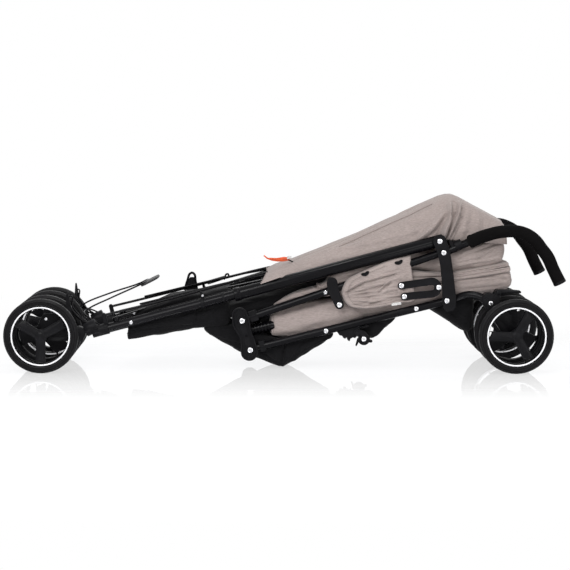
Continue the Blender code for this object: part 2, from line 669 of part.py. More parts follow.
def brake_pedal(side_name):
    """Foot brake that turns on a pin between the housing's ears."""
    tip = offset(BRAKE_PIN, BRAKE_REACH)
    middle = offset(BRAKE_PIN, (BRAKE_REACH[0] / 2, BRAKE_REACH[1] + 2 * MM))
    half = BRAKE_THICKNESS / 2
    stations = [(*BRAKE_PIN, half + PIN_RADIUS), (*middle, half), (*tip, half)]
    pedal = outline_object(f"brake_pedal_{side_name}", strap_outline(stations), SIDES[side_name] * REAR_HALF_TRACK,
                           BRAKE_WIDTH, BLACK_PLASTIC)
    side = SIDES[side_name]
    face = side * (REAR_HALF_TRACK + HOUSING_WIDTH / 2 + GAP + HEAD_SINK)
    set_rivet(pedal, (BRAKE_PIN[0], face, BRAKE_PIN[1]), (0.0, side, 0.0), HOUSING_WIDTH)
    smooth(pedal, 30)
    return pedal


def leg_frame_point(distance, across, height):
    """World point from a distance below rivet A along the leg, a Y place and a height over its axis."""
    x, z = along(along(PIN_A, LEG_ANGLE, -distance), LEG_ANGLE + QUARTER, height)
    return Vector((x, across, z))


def rear_frame_point(distance, across, height):
    """World point from a distance above pin E along the rear leg, a Y place and a height over its axis."""
    x, z = along(along(PIN_E, REAR_ANGLE, distance), REAR_ANGLE + QUARTER, height)
    return Vector((x, across, z))


def bar_mesh(name, length, width, thickness, foot_height):
    """Flat bar along -X from its pin hole at the origin, with a round foot under its far end."""
    half = width / 2
    outline = hull_outline((-length, 0.0), half, (0.0, 0.0), half, 7)
    obj = outline_object(f"{name}_blank", outline, 0.0, thickness, holes=[((0.0, 0.0), PIN_RADIUS + GAP)])
    obj.rotation_euler = (0.0, 0.0, 0.0)
    if foot_height:
        foot = add_cutter(f"{name}_foot", cylinder_mesh(BAR_FOOT_RADIUS, foot_height, 16, "foot"))
        foot.location = (-length, 0.0, -foot_height / 2)
        boolean(obj, foot, "UNION")
    mesh = baked_mesh(obj)
    mesh.name = name
    return mesh


BAR_HEIGHTS = {"near": SLEEVE_RADIUS + 2 * GAP, "far": SLEEVE_RADIUS + 3 * GAP + BAR_THICKNESS}


def cross_bar(side_name):
    """Bar of the front cross: pinned on one leg's sleeve, its foot sliding on the other leg."""
    side = SIDES[side_name]
    base = BAR_HEIGHTS[side_name]
    mesh = bar_mesh(f"cross_bar_{side_name}", BAR_LENGTH, BAR_WIDTH, BAR_THICKNESS,
                    base + BAR_THICKNESS / 2 - LEG_RADIUS - GAP)
    obj = add_object(f"cross_bar_{side_name}", mesh, DARK_PAINT)
    obj.location = leg_frame_point(BAR_PIN_FROM_A, side * TUBE_HALF_SPACING, base + BAR_THICKNESS / 2)
    lie_flat = Matrix.Rotation(-LEG_ANGLE, 4, "Y")
    obj.rotation_euler = (lie_flat @ Matrix.Rotation(side * BAR_ANGLE, 4, "Z")).to_euler()
    smooth(obj, 30)
    return obj


STRUT_LENGTH = TUBE_HALF_SPACING + SPREAD / 2
STRUT_ANGLE = math.acos((TUBE_HALF_SPACING - 2 * MM) / STRUT_LENGTH)
STRUT_DEPTHS = {"near": REAR_RADIUS + 2 * GAP, "far": REAR_RADIUS + 3 * GAP + STRUT_THICKNESS}


def strut(side_name):
    """Half of the rear spreader, pinned under its rear leg and folded back along it."""
    side = SIDES[side_name]
    mesh = bar_mesh(f"strut_{side_name}", STRUT_LENGTH, STRUT_WIDTH, STRUT_THICKNESS, 0.0)
    obj = add_object(f"strut_{side_name}", mesh, DARK_PAINT)
    depth = STRUT_DEPTHS[side_name] + STRUT_THICKNESS / 2
    obj.location = rear_frame_point(STRUT_PIN_FROM_E, side * TUBE_HALF_SPACING, -depth)
    lie_flat = Matrix.Rotation(-REAR_ANGLE, 4, "Y")
    obj.rotation_euler = (lie_flat @ Matrix.Rotation(side * (QUARTER - STRUT_ANGLE), 4, "Z")).to_euler()
    smooth(obj, 30)
    return obj


def hinge_pin(name, side_name, point, tube_radius):
    """Rivet through the knuckle and a tube behind it."""
    side = SIDES[side_name]
    face = KNUCKLE_INSIDE + KNUCKLE_PLATE + GAP
    return loose_pin(f"{name}_{side_name}", (point[0], side * face, point[1]), (0.0, side, 0.0),
                     face - TUBE_HALF_SPACING + tube_radius + GAP)


def cloth_body(name, stations, look, ring=20, crown=0.55, folds=0, fold_depth=0.0):
    """Closed cloth bundle from (x, low z, high z, half width) sections along X.

    Each section is a rounded box; folds run along the bundle as waves in its sides.
    """
    work = bmesh.new()
    loops = []
    for index, (x, low, high, half) in enumerate(stations):
        loop = []
        for step in range(ring):
            angle = math.tau * step / ring
            side, lift = math.cos(angle), math.sin(angle)
            shape_y = math.copysign(abs(side) ** crown, side)
            shape_z = math.copysign(abs(lift) ** crown, lift)
            wave = 1.0 - fold_depth * (0.5 - 0.5 * math.cos(folds * angle * 2 + index * 0.6)) if folds else 1.0
            y = half * shape_y * wave
            z = (low + high) / 2 + (high - low) / 2 * shape_z
            loop.append(work.verts.new((x, y, z)))
        loops.append(loop)
    for first, second in zip(loops, loops[1:]):
        for step in range(ring):
            after = (step + 1) % ring
            work.faces.new((first[step], first[after], second[after], second[step]))
    work.faces.new(loops[0][::-1])
    work.faces.new(loops[-1])
    bmesh.ops.recalc_face_normals(work, faces=work.faces)
    mesh = bpy.data.meshes.new(name)
    work.to_mesh(mesh)
    work.free()
    obj = add_object(name, mesh, look)
    smooth(obj, 60)
    return obj


def leg_line(x):
    return PIN_A[1] + (x - PIN_A[0]) * math.tan(LEG_ANGLE)


def push_line(x):
    return PIN_D[1] + (x - PIN_D[0]) * math.tan(PUSH_ANGLE)


def rear_line(x):
    return PIN_E[1] + (x - PIN_E[0]) * math.tan(REAR_ANGLE)


ROOM_SIDES = 12


def seat_on(obj, start, end, radius):
    """Make room in a cloth body for the pair of tubes that it rests against."""
    flat_radius = (radius + GAP) / math.cos(math.pi / ROOM_SIDES)
    for side_name, side in SIDES.items():
        y = side * TUBE_HALF_SPACING
        room = rod(f"room_{obj.name}_{side_name}_{len(obj.modifiers)}", (start[0], y, start[1]),
                   (end[0], y, end[1]), flat_radius, sides=ROOM_SIDES, cutter=True)
        boolean(obj, room, "DIFFERENCE")


LEG_TUBE = (along(PIN_A, LEG_ANGLE, -LEG_SPAN), along(PIN_A, LEG_ANGLE, 2 * TUBE_END))


def seat_on_bent(obj, path, radius):
    """The same for a pair of bent tubes, given by the function that makes their path."""
    for side_name in SIDES:
        room = bent_tube(f"room_{obj.name}_{side_name}_{len(obj.modifiers)}", path(side_name),
                         radius + 2 * GAP, resolution=4, cutter=True)
        boolean(obj, room, "DIFFERENCE")


def spread_stations(keys, count):
    """Sections at even steps between key sections, eased so that the surface stays smooth."""
    start, end = keys[0][0], keys[-1][0]
    made = []
    for number in range(count):
        x = start + (end - start) * number / (count - 1)
        place = next(i for i in range(len(keys) - 1) if x <= keys[i + 1][0] + 1e-9)
        low, high = keys[place], keys[place + 1]
        part = (x - low[0]) / (high[0] - low[0])
        part = part * part * (3 - 2 * part) * 0.5 + part * 0.5
        made.append((x, *(a + (b - a) * part for a, b in zip(low[1:], high[1:]))))
    return made


def canopy():
    """Folded canopy and seat back above the legs.

    Places are shares of the stretch from rivet A down to the cross bars' pins, and heights
    are measured from the legs' axis.
    """
    shape = [(1.054, 4, 16, 0.7), (1.013, -4, 23, 0.86), (0.824, -8, 40, 0.98), (0.511, -9, 59, 1),
             (0.15, -9, 78, 1), (-0.027, -9, 90, 1), (-0.086, -9, 84, 1), (-0.257, -11, 39, 0.96),
             (-0.393, -26, 5, 0.92), (-0.435, -28, -8, 0.74)]
    stretch = BAR_PIN_FROM_A * math.cos(LEG_ANGLE)
    keys = []
    for place, low, high, share in shape:
        x = PIN_A[0] - place * stretch
        keys.append((x, leg_line(x) + low * MM, leg_line(x) + high * MM, share * CANOPY_HALF))
    cloth = cloth_body("canopy", spread_stations(keys, 22), BEIGE_CLOTH, folds=3, fold_depth=0.05)
    seat_on(cloth, *LEG_TUBE, SLEEVE_RADIUS)
    seat_on_bent(cloth, push_path, PUSH_RADIUS)
    return cloth


def seat_bundle():
    """Seat cloth gathered between the push tubes and the rear legs, measured from pin E and the rear legs' axis."""
    shape = [(38, 18, 52, 0.68), (48, 11, 59, 0.86), (110, 11, 65, 0.96), (170, 11, 71, 1), (220, 10, 108, 1),
             (310, 10, 110, 1), (388, 10, 111, 0.96), (450, 5, 109, 0.91), (510, -11, 95, 0.86), (528, -10, 84, 0.76),
             (536, 5, 60, 0.57)]
    keys = []
    for reach, low, high, share in shape:
        x = PIN_E[0] + reach * MM
        keys.append((x, rear_line(x) + low * MM, rear_line(x) + high * MM, share * SEAT_HALF))
    cloth = cloth_body("seat_bundle", spread_stations(keys, 22), BEIGE_CLOTH, folds=5, fold_depth=0.07)
    seat_on(cloth, *LEG_TUBE, SLEEVE_RADIUS)
    seat_on_bent(cloth, push_path, PUSH_RADIUS)
    seat_on_bent(cloth, rear_path, REAR_RADIUS)
    return cloth


def basket():
    """Collapsed storage basket hanging below the rear legs, measured from pin E."""
    shape = [(-90, 39, 69, 0.68), (-80, 31, 71, 0.88), (-20, -5, 45, 0.9), (10, -19, 19, 0.9), (26, -26, 19, 0.98),
             (61, -38, 23, 0.98), (76, -30, 3, 0.98), (110, -13, 8, 0.9), (148, 8, 15, 0.85)]
    keys = [(PIN_E[0] + reach * MM, PIN_E[1] + low * MM, PIN_E[1] + high * MM, share * HANGING_HALF)
            for reach, low, high, share in shape]
    cloth = cloth_body("basket", spread_stations(keys, 16), BLACK_CLOTH, folds=2, fold_depth=0.04)
    seat_on_bent(cloth, rear_path, REAR_RADIUS)
    return cloth


def foot_cloth():
    """Calf cloth hanging between the front legs.

    Places are shares of the bare stretch of leg, and the depth is measured from the leg's axis.
    """
    shape = [(0.242, 49, 0.95), (0.312, 52, 1), (0.555, 53, 1), (0.774, 52, 0.97)]
    bare = along(PIN_A, LEG_ANGLE, TUBE_END - SLEEVE_LENGTH - COLLAR_LENGTH)[0] - LEG_FOOT[0]
    keys = []
    for place, depth, share in shape:
        x = LEG_FOOT[0] + place * bare
        keys.append((x, leg_line(x) - depth * MM, leg_line(x) + LEG_RADIUS, share * HANGING_HALF))
    cloth = cloth_body("foot_cloth", spread_stations(keys, 8), BLACK_CLOTH, folds=2, fold_depth=0.04)
    seat_on(cloth, *LEG_TUBE, LEG_RADIUS)
    return cloth


def joint_empty(name, place, parent=None):
    """Empty on a joint's axis that carries the moving pieces."""
    empty = bpy.data.objects.new(name, None)
    PARTS.objects.link(empty)
    empty.empty_display_size = 30 * MM
    origin = Vector(place)
    empty["origin"] = tuple(origin)
    empty.parent = parent
    empty.location = origin - Vector(parent["origin"]) if parent else origin
    return empty


def carry(empty, pieces):
    for piece in pieces:
        piece.parent = empty
        piece.location = piece.location - Vector(empty["origin"])


FRONT_SPOKES = {"outer": math.radians(30), "inner": math.radians(75)}
REAR_SPOKES = {"outer": math.radians(60), "inner": math.radians(15)}


def side_frame(side_name, meshes, parent=None):
    """One side of the stroller, carried by its own empty."""
    y = SIDES[side_name] * TUBE_HALF_SPACING
    frame = joint_empty(f"frame_{side_name}_body", (PIN_A[0], y, PIN_A[1]), parent)
    carry(frame, [leg_socket(side_name), *front_leg(side_name), push_tube(side_name), grip(side_name),
                  hinge_plate(side_name), stay(side_name), saddle(side_name),
                  hinge_pin("knuckle_pin", side_name, PIN_D, PUSH_RADIUS)])
    swivel = joint_empty(f"swivel_{side_name}_axis", (STEM_BASE[0], y, STEM_BASE[1]), frame)
    carry(swivel, [caster(side_name)])
    front = joint_empty(f"front_axle_{side_name}_axis", (FRONT_AXLE[0], y, FRONT_AXLE[1]), swivel)
    carry(front, wheel_pair("front", side_name, meshes, FRONT_AXLE, TUBE_HALF_SPACING, FRONT_SPOKES))
    link = joint_empty(f"knuckle_{side_name}_axis", (PIN_D[0], y, PIN_D[1]), frame)
    carry(link, [knuckle(side_name)])
    leg = joint_empty(f"rear_leg_{side_name}_axis", (PIN_E[0], y, PIN_E[1]), link)
    carry(leg, [rear_leg(side_name), rear_housing(side_name),
                hinge_pin("rear_leg_pin", side_name, PIN_E, REAR_RADIUS)])
    pedal = joint_empty(f"brake_{side_name}_axis", (BRAKE_PIN[0], SIDES[side_name] * REAR_HALF_TRACK, BRAKE_PIN[1]), leg)
    carry(pedal, [brake_pedal(side_name)])
    rear = joint_empty(f"rear_axle_{side_name}_axis", (REAR_AXLE[0], SIDES[side_name] * REAR_HALF_TRACK, REAR_AXLE[1]), leg)
    carry(rear, wheel_pair("rear", side_name, meshes, REAR_AXLE, REAR_HALF_TRACK, REAR_SPOKES))
    bar = cross_bar(side_name)
    carry(joint_empty(f"cross_bar_{side_name}_axis", bar.location, frame), [bar])
    spreader = strut(side_name)
    carry(joint_empty(f"strut_{side_name}_axis", spreader.location, leg), [spreader])
    return frame


def main():
    meshes = wheel_meshes()
    near = side_frame("near", meshes)
    carry(near, [canopy(), seat_bundle(), basket(), foot_cloth()])
    side_frame("far", meshes, near)
    bpy.context.view_layer.update()


main()
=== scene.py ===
"""Folded umbrella stroller: the finished look, made over the packed frame."""
import math

import bmesh
import bpy
import numpy as np
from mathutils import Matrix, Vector, noise


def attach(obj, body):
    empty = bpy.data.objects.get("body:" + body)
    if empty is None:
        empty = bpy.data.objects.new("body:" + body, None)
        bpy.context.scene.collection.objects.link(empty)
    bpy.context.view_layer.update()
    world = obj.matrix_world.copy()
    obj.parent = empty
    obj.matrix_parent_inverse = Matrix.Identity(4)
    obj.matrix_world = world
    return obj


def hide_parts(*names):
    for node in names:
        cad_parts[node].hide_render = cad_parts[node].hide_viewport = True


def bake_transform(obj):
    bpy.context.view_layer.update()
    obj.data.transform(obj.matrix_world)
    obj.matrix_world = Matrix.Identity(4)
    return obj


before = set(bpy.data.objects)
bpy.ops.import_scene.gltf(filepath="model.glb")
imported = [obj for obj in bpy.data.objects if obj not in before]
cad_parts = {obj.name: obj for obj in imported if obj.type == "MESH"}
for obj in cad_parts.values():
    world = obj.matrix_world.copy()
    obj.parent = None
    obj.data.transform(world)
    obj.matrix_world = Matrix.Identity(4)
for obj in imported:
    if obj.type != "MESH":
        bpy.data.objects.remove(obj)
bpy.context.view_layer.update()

bl_info = {
    "name": "Folded umbrella stroller",
    "version": (1, 0, 0),
    "blender": (4, 5, 0),
    "location": "View3D > Sidebar > Stroller",
    "description": "Finished look of a folded umbrella stroller over its jointed frame",
    "category": "Object",
}

MM = 0.001
QUARTER = math.pi / 2
SIDES = {"near": -1.0, "far": 1.0}

# Places of the frame, as (x, z) in metres
LEG_ANGLE = math.radians(14.75)
PUSH_ANGLE = math.radians(18.63)
REAR_ANGLE = math.radians(13.8)
RIVET_A = (0.31287, 0.26241)
RIVET_B = (0.32087, 0.23921)
RIVET_D = (-0.08612, 0.10201)
RIVET_E = (-0.06972, 0.04261)
CATCH = (0.32787, 0.14211)
FRONT_AXLE = (-0.4892, 0.075)
REAR_AXLE = (0.462, 0.075)
HOUSING_HEAD = (0.411, 0.145)
HALF_SPACING = 0.094
REAR_HALF_TRACK = 0.118
PAIR_HALF_GAP = 0.042
SLEEVE_RADIUS = 0.0125
LEG_RADIUS = 0.0095
TUBE_RADIUS = 0.008
PLATE_OUTSIDE = 0.1098
HINGE_INSIDE = 0.1068
STAY_INSIDE = 0.1032
KNUCKLE_INSIDE = 0.1023
STAY_UPPER, STAY_LOWER = (-77, -90), (-71, -112)


def along(point, angle, distance):
    return (point[0] + math.cos(angle) * distance, point[1] + math.sin(angle) * distance)


def offset(point, step):
    return (point[0] + step[0] * MM, point[1] + step[1] * MM)


def leg_line(x):
    return RIVET_A[1] + (x - RIVET_A[0]) * math.tan(LEG_ANGLE)


def in_metres(points):
    return [tuple(value * MM for value in point) for point in points]


def stations_from(point, shape):
    """Stations (x, z, half width) in metres, from ones in mm about a point."""
    return [(point[0] + x * MM, point[1] + z * MM, half * MM) for x, z, half in shape]


SADDLE_PIN = along(RIVET_D, PUSH_ANGLE, 0.196)


class StrollerColours(bpy.types.PropertyGroup):
    cloth: bpy.props.FloatVectorProperty(
        name="Cloth", description="Taupe canvas of canopy and seat", subtype="COLOR", size=3, min=0, max=1,
        default=(0.318, 0.268, 0.252))
    lining: bpy.props.FloatVectorProperty(
        name="Black cloth", description="Basket, calf cloth and lining", subtype="COLOR", size=3, min=0,
        max=1, default=(0.0042, 0.0041, 0.0048))
    paint: bpy.props.FloatVectorProperty(
        name="Frame paint", description="Satin black paint of the tubes", subtype="COLOR", size=3, min=0,
        max=1, default=(0.0030, 0.0028, 0.0036))
    plastic: bpy.props.FloatVectorProperty(
        name="Plastic", description="Grained black plastic of plates, forks and rims", subtype="COLOR",
        size=3, min=0, max=1, default=(0.0042, 0.0041, 0.0049))
    foam: bpy.props.FloatVectorProperty(
        name="Foam", description="Foam rubber of the grips", subtype="COLOR", size=3, min=0, max=1,
        default=(0.0034, 0.0031, 0.0032))
    tyre: bpy.props.FloatVectorProperty(
        name="Tyre", description="Tyre rubber", subtype="COLOR", size=3, min=0, max=1,
        default=(0.0036, 0.0034, 0.0040))
    ring: bpy.props.FloatVectorProperty(
        name="Rim ring", description="White ring on each rim", subtype="COLOR", size=3, min=0, max=1,
        default=(0.86, 0.86, 0.88))
    tab: bpy.props.FloatVectorProperty(
        name="Pull tab", description="Orange pull tab at the end of the canopy", subtype="COLOR", size=3,
        min=0, max=1, default=(0.72, 0.105, 0.03))


class StrollerSizes(bpy.types.PropertyGroup):
    ring_radius: bpy.props.FloatProperty(
        name="Ring radius", description="Middle of the white ring on each rim", default=0.0580, unit="LENGTH",
        min=0.05, max=0.0605)
    ring_width: bpy.props.FloatProperty(
        name="Ring width", description="Width of the white ring", default=0.0034, unit="LENGTH", min=0.001,
        max=0.006)
    spoke_width: bpy.props.FloatProperty(
        name="Spoke width", description="Width of each of the three spokes", default=0.018, unit="LENGTH",
        min=0.008, max=0.03)
    screw_radius: bpy.props.FloatProperty(
        name="Screw radius", description="Radius of the bright screw heads", default=0.0050, unit="LENGTH",
        min=0.002, max=0.008)
    stitch_step: bpy.props.FloatProperty(
        name="Stitch step", description="Distance from stitch to stitch", default=0.0042, unit="LENGTH",
        min=0.002, max=0.01)
    fold_depth: bpy.props.FloatProperty(
        name="Fold depth", description="Depth of the deepest folds in the cloth", default=0.009,
        unit="LENGTH", min=0.0, max=0.02)


# Materials
def new_material(name, colour, roughness, metallic=0.0):
    """Principled material with object coordinates; returns the material, its tree, shader and coordinates."""
    material = bpy.data.materials.new(name)
    material.use_nodes = True
    tree = material.node_tree
    shader = tree.nodes["Principled BSDF"]
    shader.inputs["Base Color"].default_value = (*colour, 1.0)
    shader.inputs["Roughness"].default_value = roughness
    shader.inputs["Metallic"].default_value = metallic
    place = tree.nodes.new("ShaderNodeTexCoord").outputs["Object"]
    return material, tree, shader, place


def add_node(tree, kind, settings=None, **inputs):
    node = tree.nodes.new(kind)
    for key, value in (settings or {}).items():
        setattr(node, key, value)
    for key, value in inputs.items():
        socket = node.inputs[key.replace("_", " ")]
        if isinstance(value, bpy.types.NodeSocket):
            tree.links.new(value, socket)
        else:
            socket.default_value = value
    return node


def grain(tree, place, scale, detail=3.0, stretch=None):
    """Noise at a scale, stretched along the axes if asked."""
    if stretch:
        place = add_node(tree, "ShaderNodeMapping", Vector=place, Scale=stretch).outputs["Vector"]
    return add_node(tree, "ShaderNodeTexNoise", Vector=place, Scale=scale, Detail=detail).outputs["Fac"]


def ramp(tree, value, stops):
    node = add_node(tree, "ShaderNodeValToRGB", Fac=value)
    node.color_ramp.elements.remove(node.color_ramp.elements[1])
    for number, (where, colour) in enumerate(stops):
        element = node.color_ramp.elements[0] if number == 0 else node.color_ramp.elements.new(where)
        element.position = where
        element.color = (*colour, 1.0)
    return node.outputs["Color"]


def scaled(colour, factor):
    return tuple(min(1.0, channel * factor) for channel in colour)


def span(tree, value, low, high, to_low, to_high):
    """Map a value from one range to another."""
    node = add_node(tree, "ShaderNodeMapRange", Value=value)
    for key, number in (("From Min", low), ("From Max", high), ("To Min", to_low), ("To Max", to_high)):
        node.inputs[key].default_value = number
    return node.outputs["Result"]


def math_node(tree, operation, first, second):
    node = tree.nodes.new("ShaderNodeMath")
    node.operation = operation
    for socket, value in zip(node.inputs, (first, second)):
        if isinstance(value, bpy.types.NodeSocket):
            tree.links.new(value, socket)
        else:
            socket.default_value = value
    return node.outputs[0]


def bump(tree, shader, height, distance, strength=1.0):
    node = add_node(tree, "ShaderNodeBump", Height=height, Distance=distance, Strength=strength)
    tree.links.new(node.outputs["Normal"], shader.inputs["Normal"])
    return node


def weave(tree, place, step):
    """Threads crossing in the three directions of space, so that every face of the cloth shows two."""
    total = None
    for direction in ("X", "Y", "Z"):
        thread = add_node(tree, "ShaderNodeTexWave", {"bands_direction": direction}, Vector=place,
                          Scale=math.tau / 20 / step, Distortion=0.6, Detail=1.0).outputs["Fac"]
        total = thread if total is None else math_node(tree, "ADD", total, thread)
    return math_node(tree, "DIVIDE", total, 3.0)


def canvas(name, colour, step, sheen, heather):
    """Woven cloth: mottled yarn, thread relief and a soft sheen."""
    material, tree, shader, place = new_material(name, colour, 0.92)
    slubs = grain(tree, place, 420.0, 2.0, (0.35, 1.0, 2.2))
    wide = grain(tree, place, 9.0, 4.0)
    mixed = math_node(tree, "ADD", math_node(tree, "MULTIPLY", slubs, 0.62),
                      math_node(tree, "MULTIPLY", wide, 0.38))
    low, high = 1.0 - heather, 1.0 + heather
    tint = ramp(tree, mixed, [(0.34, scaled(colour, low)), (0.5, colour), (0.66, scaled(colour, high))])
    tree.links.new(tint, shader.inputs["Base Color"])
    threads = weave(tree, place, step)
    pucker = grain(tree, place, 55.0, 3.0)
    relief = math_node(tree, "ADD", threads, math_node(tree, "MULTIPLY", pucker, 3.0))
    bump(tree, shader, relief, 0.00035, 0.55)
    rough = span(tree, wide, 0.3, 0.7, 0.86, 0.97)
    tree.links.new(rough, shader.inputs["Roughness"])
    shader.inputs["Sheen Weight"].default_value = sheen
    shader.inputs["Sheen Roughness"].default_value = 0.45
    shader.inputs["Specular IOR Level"].default_value = 0.15
    return material


def worn(made, wear, stops, rough_span, height, distance, strength, specular=None):
    """Finish a material by its wear: tint by factors of its colour, roughness by a span, and a relief."""
    material, tree, shader, _ = made
    colour = tuple(shader.inputs["Base Color"].default_value)[:3]
    tint = ramp(tree, wear, [(where, scaled(colour, factor)) for where, factor in stops])
    tree.links.new(tint, shader.inputs["Base Color"])
    tree.links.new(span(tree, wear, *rough_span), shader.inputs["Roughness"])
    bump(tree, shader, height, distance, strength)
    if specular is not None:
        shader.inputs["Specular IOR Level"].default_value = specular
    return material


def satin_paint(name, colour, roughness=0.22):
    """Powder-coated tube: slight orange peel, rubbed lighter in places."""
    made = new_material(name, colour, roughness)
    _, tree, _, place = made
    peel = grain(tree, place, 900.0, 2.0)
    rubs = grain(tree, place, 16.0, 6.0, (0.4, 1.0, 1.0))
    return worn(made, rubs, [(0.42, 1.0), (0.62, 1.35), (0.78, 2.0)],
                (0.35, 0.75, roughness - 0.05, roughness + 0.14), peel, 0.00012, 0.5, 0.10)


def moulded_plastic(name, colour, roughness=0.46):
    """Spark-grained moulding with faint scuffs."""
    made = new_material(name, colour, roughness)
    _, tree, _, place = made
    pits = add_node(tree, "ShaderNodeTexVoronoi", {"feature": "SMOOTH_F1"}, Vector=place, Scale=1100.0)
    scuffs = grain(tree, place, 38.0, 8.0, (0.5, 1.0, 1.6))
    return worn(made, scuffs, [(0.40, 1.0), (0.60, 1.3), (0.80, 2.6)],
                (0.3, 0.75, roughness - 0.07, roughness + 0.16), pits.outputs["Distance"], 0.00018, 0.6, 0.09)


def foam_rubber(name, colour):
    """Closed-cell foam: pores and a dry surface."""
    made = new_material(name, colour, 0.9)
    _, tree, _, place = made
    pores = add_node(tree, "ShaderNodeTexVoronoi", Vector=place, Scale=1500.0).outputs["Distance"]
    return worn(made, grain(tree, place, 30.0, 5.0), [(0.4, 1.0), (0.7, 1.7)],
                (0.3, 0.7, 0.78, 0.94), pores, 0.0003, 0.7, 0.04)


def tyre_rubber(name, colour):
    """Solid foam tyre: fine skin, greyer where it has rolled."""
    made = new_material(name, colour, 0.62)
    _, tree, _, place = made
    skin = grain(tree, place, 700.0, 3.0)
    return worn(made, grain(tree, place, 24.0, 7.0), [(0.42, 1.0), (0.64, 1.6), (0.82, 3.2)],
                (0.3, 0.7, 0.36, 0.6), skin, 0.0002, 0.6, 0.15)


def bright_metal(name, colour, roughness=0.22):
    """Plated steel with fine turning marks and dull patches."""
    made = new_material(name, colour, roughness, 1.0)
    _, tree, _, place = made
    marks = grain(tree, place, 1400.0, 2.0, (1.0, 0.2, 1.0))
    return worn(made, grain(tree, place, 220.0, 4.0), [(0.38, 0.8), (0.55, 1.0)],
                (0.35, 0.65, roughness - 0.06, roughness + 0.12), marks, 0.00006, 0.5)


def ring_coating(name, colour):
    """White lacquered ring, a little dirty in places."""
    made = new_material(name, colour, 0.3)
    _, tree, _, place = made
    dirt = grain(tree, place, 42.0, 6.0)
    return worn(made, dirt, [(0.50, 1.0), (0.70, 0.9), (0.86, 0.68)], (0.3, 0.7, 0.24, 0.4), dirt, 0.0001,
                0.4)


def ribbed_tape(name, colour):
    """Woven tape with ribs along its length."""
    made = new_material(name, colour, 0.8)
    _, tree, _, place = made
    ribs = add_node(tree, "ShaderNodeTexWave", {"bands_direction": "Z"}, Vector=place, Scale=210.0,
                    Distortion=0.8).outputs["Fac"]
    yarn = grain(tree, place, 300.0, 3.0)
    return worn(made, yarn, [(0.35, 0.72), (0.6, 1.0)], (0.3, 0.7, 0.72, 0.9),
                math_node(tree, "ADD", ribs, yarn), 0.0004, 0.6)


def finish(key):
    """The material of that name, made from the scene's colours when first asked for."""
    known = bpy.data.materials.get(key)
    if known:
        return known
    c = bpy.context.scene.stroller_colours
    makers = {
        "taupe_canvas": lambda: canvas(key, tuple(c.cloth), 0.0011, 0.22, 0.20),
        "taupe_binding": lambda: canvas(key, scaled(tuple(c.cloth), 0.86), 0.0009, 0.15, 0.14),
        "black_canvas": lambda: canvas(key, tuple(c.lining), 0.0012, 0.05, 0.35),
        "frame_paint": lambda: satin_paint(key, tuple(c.paint)),
        "gloss_black": lambda: satin_paint(key, tuple(c.paint), 0.16),
        "plate_plastic": lambda: moulded_plastic(key, tuple(c.plastic), 0.44),
        "rim_plastic": lambda: moulded_plastic(key, tuple(c.plastic), 0.38),
        "grip_foam": lambda: foam_rubber(key, tuple(c.foam)),
        "tyre_rubber": lambda: tyre_rubber(key, tuple(c.tyre)),
        "screw_steel": lambda: bright_metal(key, (0.66, 0.66, 0.68)),
        "axle_steel": lambda: bright_metal(key, (0.55, 0.56, 0.58), 0.3),
        "white_ring": lambda: ring_coating(key, tuple(c.ring)),
        "white_tape": lambda: ribbed_tape(key, (0.62, 0.61, 0.60)),
        "paddle_grey": lambda: moulded_plastic(key, (0.045, 0.045, 0.046), 0.42),
        "orange_tape": lambda: ribbed_tape(key, tuple(c.tab)),
        "stitch_thread": lambda: ribbed_tape(key, scaled(tuple(c.cloth), 0.62)),
    }
    return makers[key]()


# Making pieces
def add_piece(name, mesh, look, body=None, smooth=50, stands_for=()):
    """Object at the origin with its finish, riding on a body and standing for CAD nodes."""
    obj = bpy.data.objects.new(name, mesh)
    bpy.context.scene.collection.objects.link(obj)
    mesh.materials.clear()
    mesh.materials.append(finish(look))
    mesh.shade_smooth()
    if smooth < 180:
        mesh.set_sharp_from_angle(angle=math.radians(smooth))
    if body:
        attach(obj, body)
    if stands_for:
        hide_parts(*stands_for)
    return obj


def mesh_of(name, work, tidy=False):
    """Mesh from a bmesh, with its doubles merged and normals outward if asked."""
    if tidy:
        bmesh.ops.remove_doubles(work, verts=work.verts, dist=1e-6)
        bmesh.ops.recalc_face_normals(work, faces=work.faces)
    mesh = bpy.data.meshes.new(name)
    work.to_mesh(mesh)
    work.free()
    return mesh


def grid_mesh(name, rows, closed_round=True, caps=True):
    """Mesh through rows of points, each row a ring or an open line."""
    work = bmesh.new()
    made = [[work.verts.new(point) for point in row] for row in rows]
    count = len(made[0])
    for first, second in zip(made, made[1:]):
        for step in range(count if closed_round else count - 1):
            after = (step + 1) % count
            work.faces.new((first[step], first[after], second[after], second[step]))
    if caps and closed_round:
        work.faces.new(made[0][::-1])
        work.faces.new(made[-1])
    return mesh_of(name, work, True)


def turned(name, start, direction, profile, steps=48, closed=False, shape=None):
    """Lathe a profile of (distance along, radius) round a direction; closed for a ring-shaped profile."""
    axis = Vector(direction).normalized()
    across = axis.cross(Vector((0.0, 1.0, 0.0) if abs(axis.y) < 0.9 else (1.0, 0.0, 0.0))).normalized()
    over = axis.cross(across)
    origin = Vector(start)
    rows = []
    for distance, radius in profile:
        row = []
        for step in range(steps):
            angle = math.tau * step / steps
            reach = radius * (shape(angle, distance) if shape else 1.0)
            around = across * math.cos(angle) + over * math.sin(angle)
            row.append(origin + axis * distance + around * max(reach, 1e-5))
        rows.append(row)
    if closed:
        rows.append(rows[0])
    return grid_mesh(name, rows, caps=not closed)


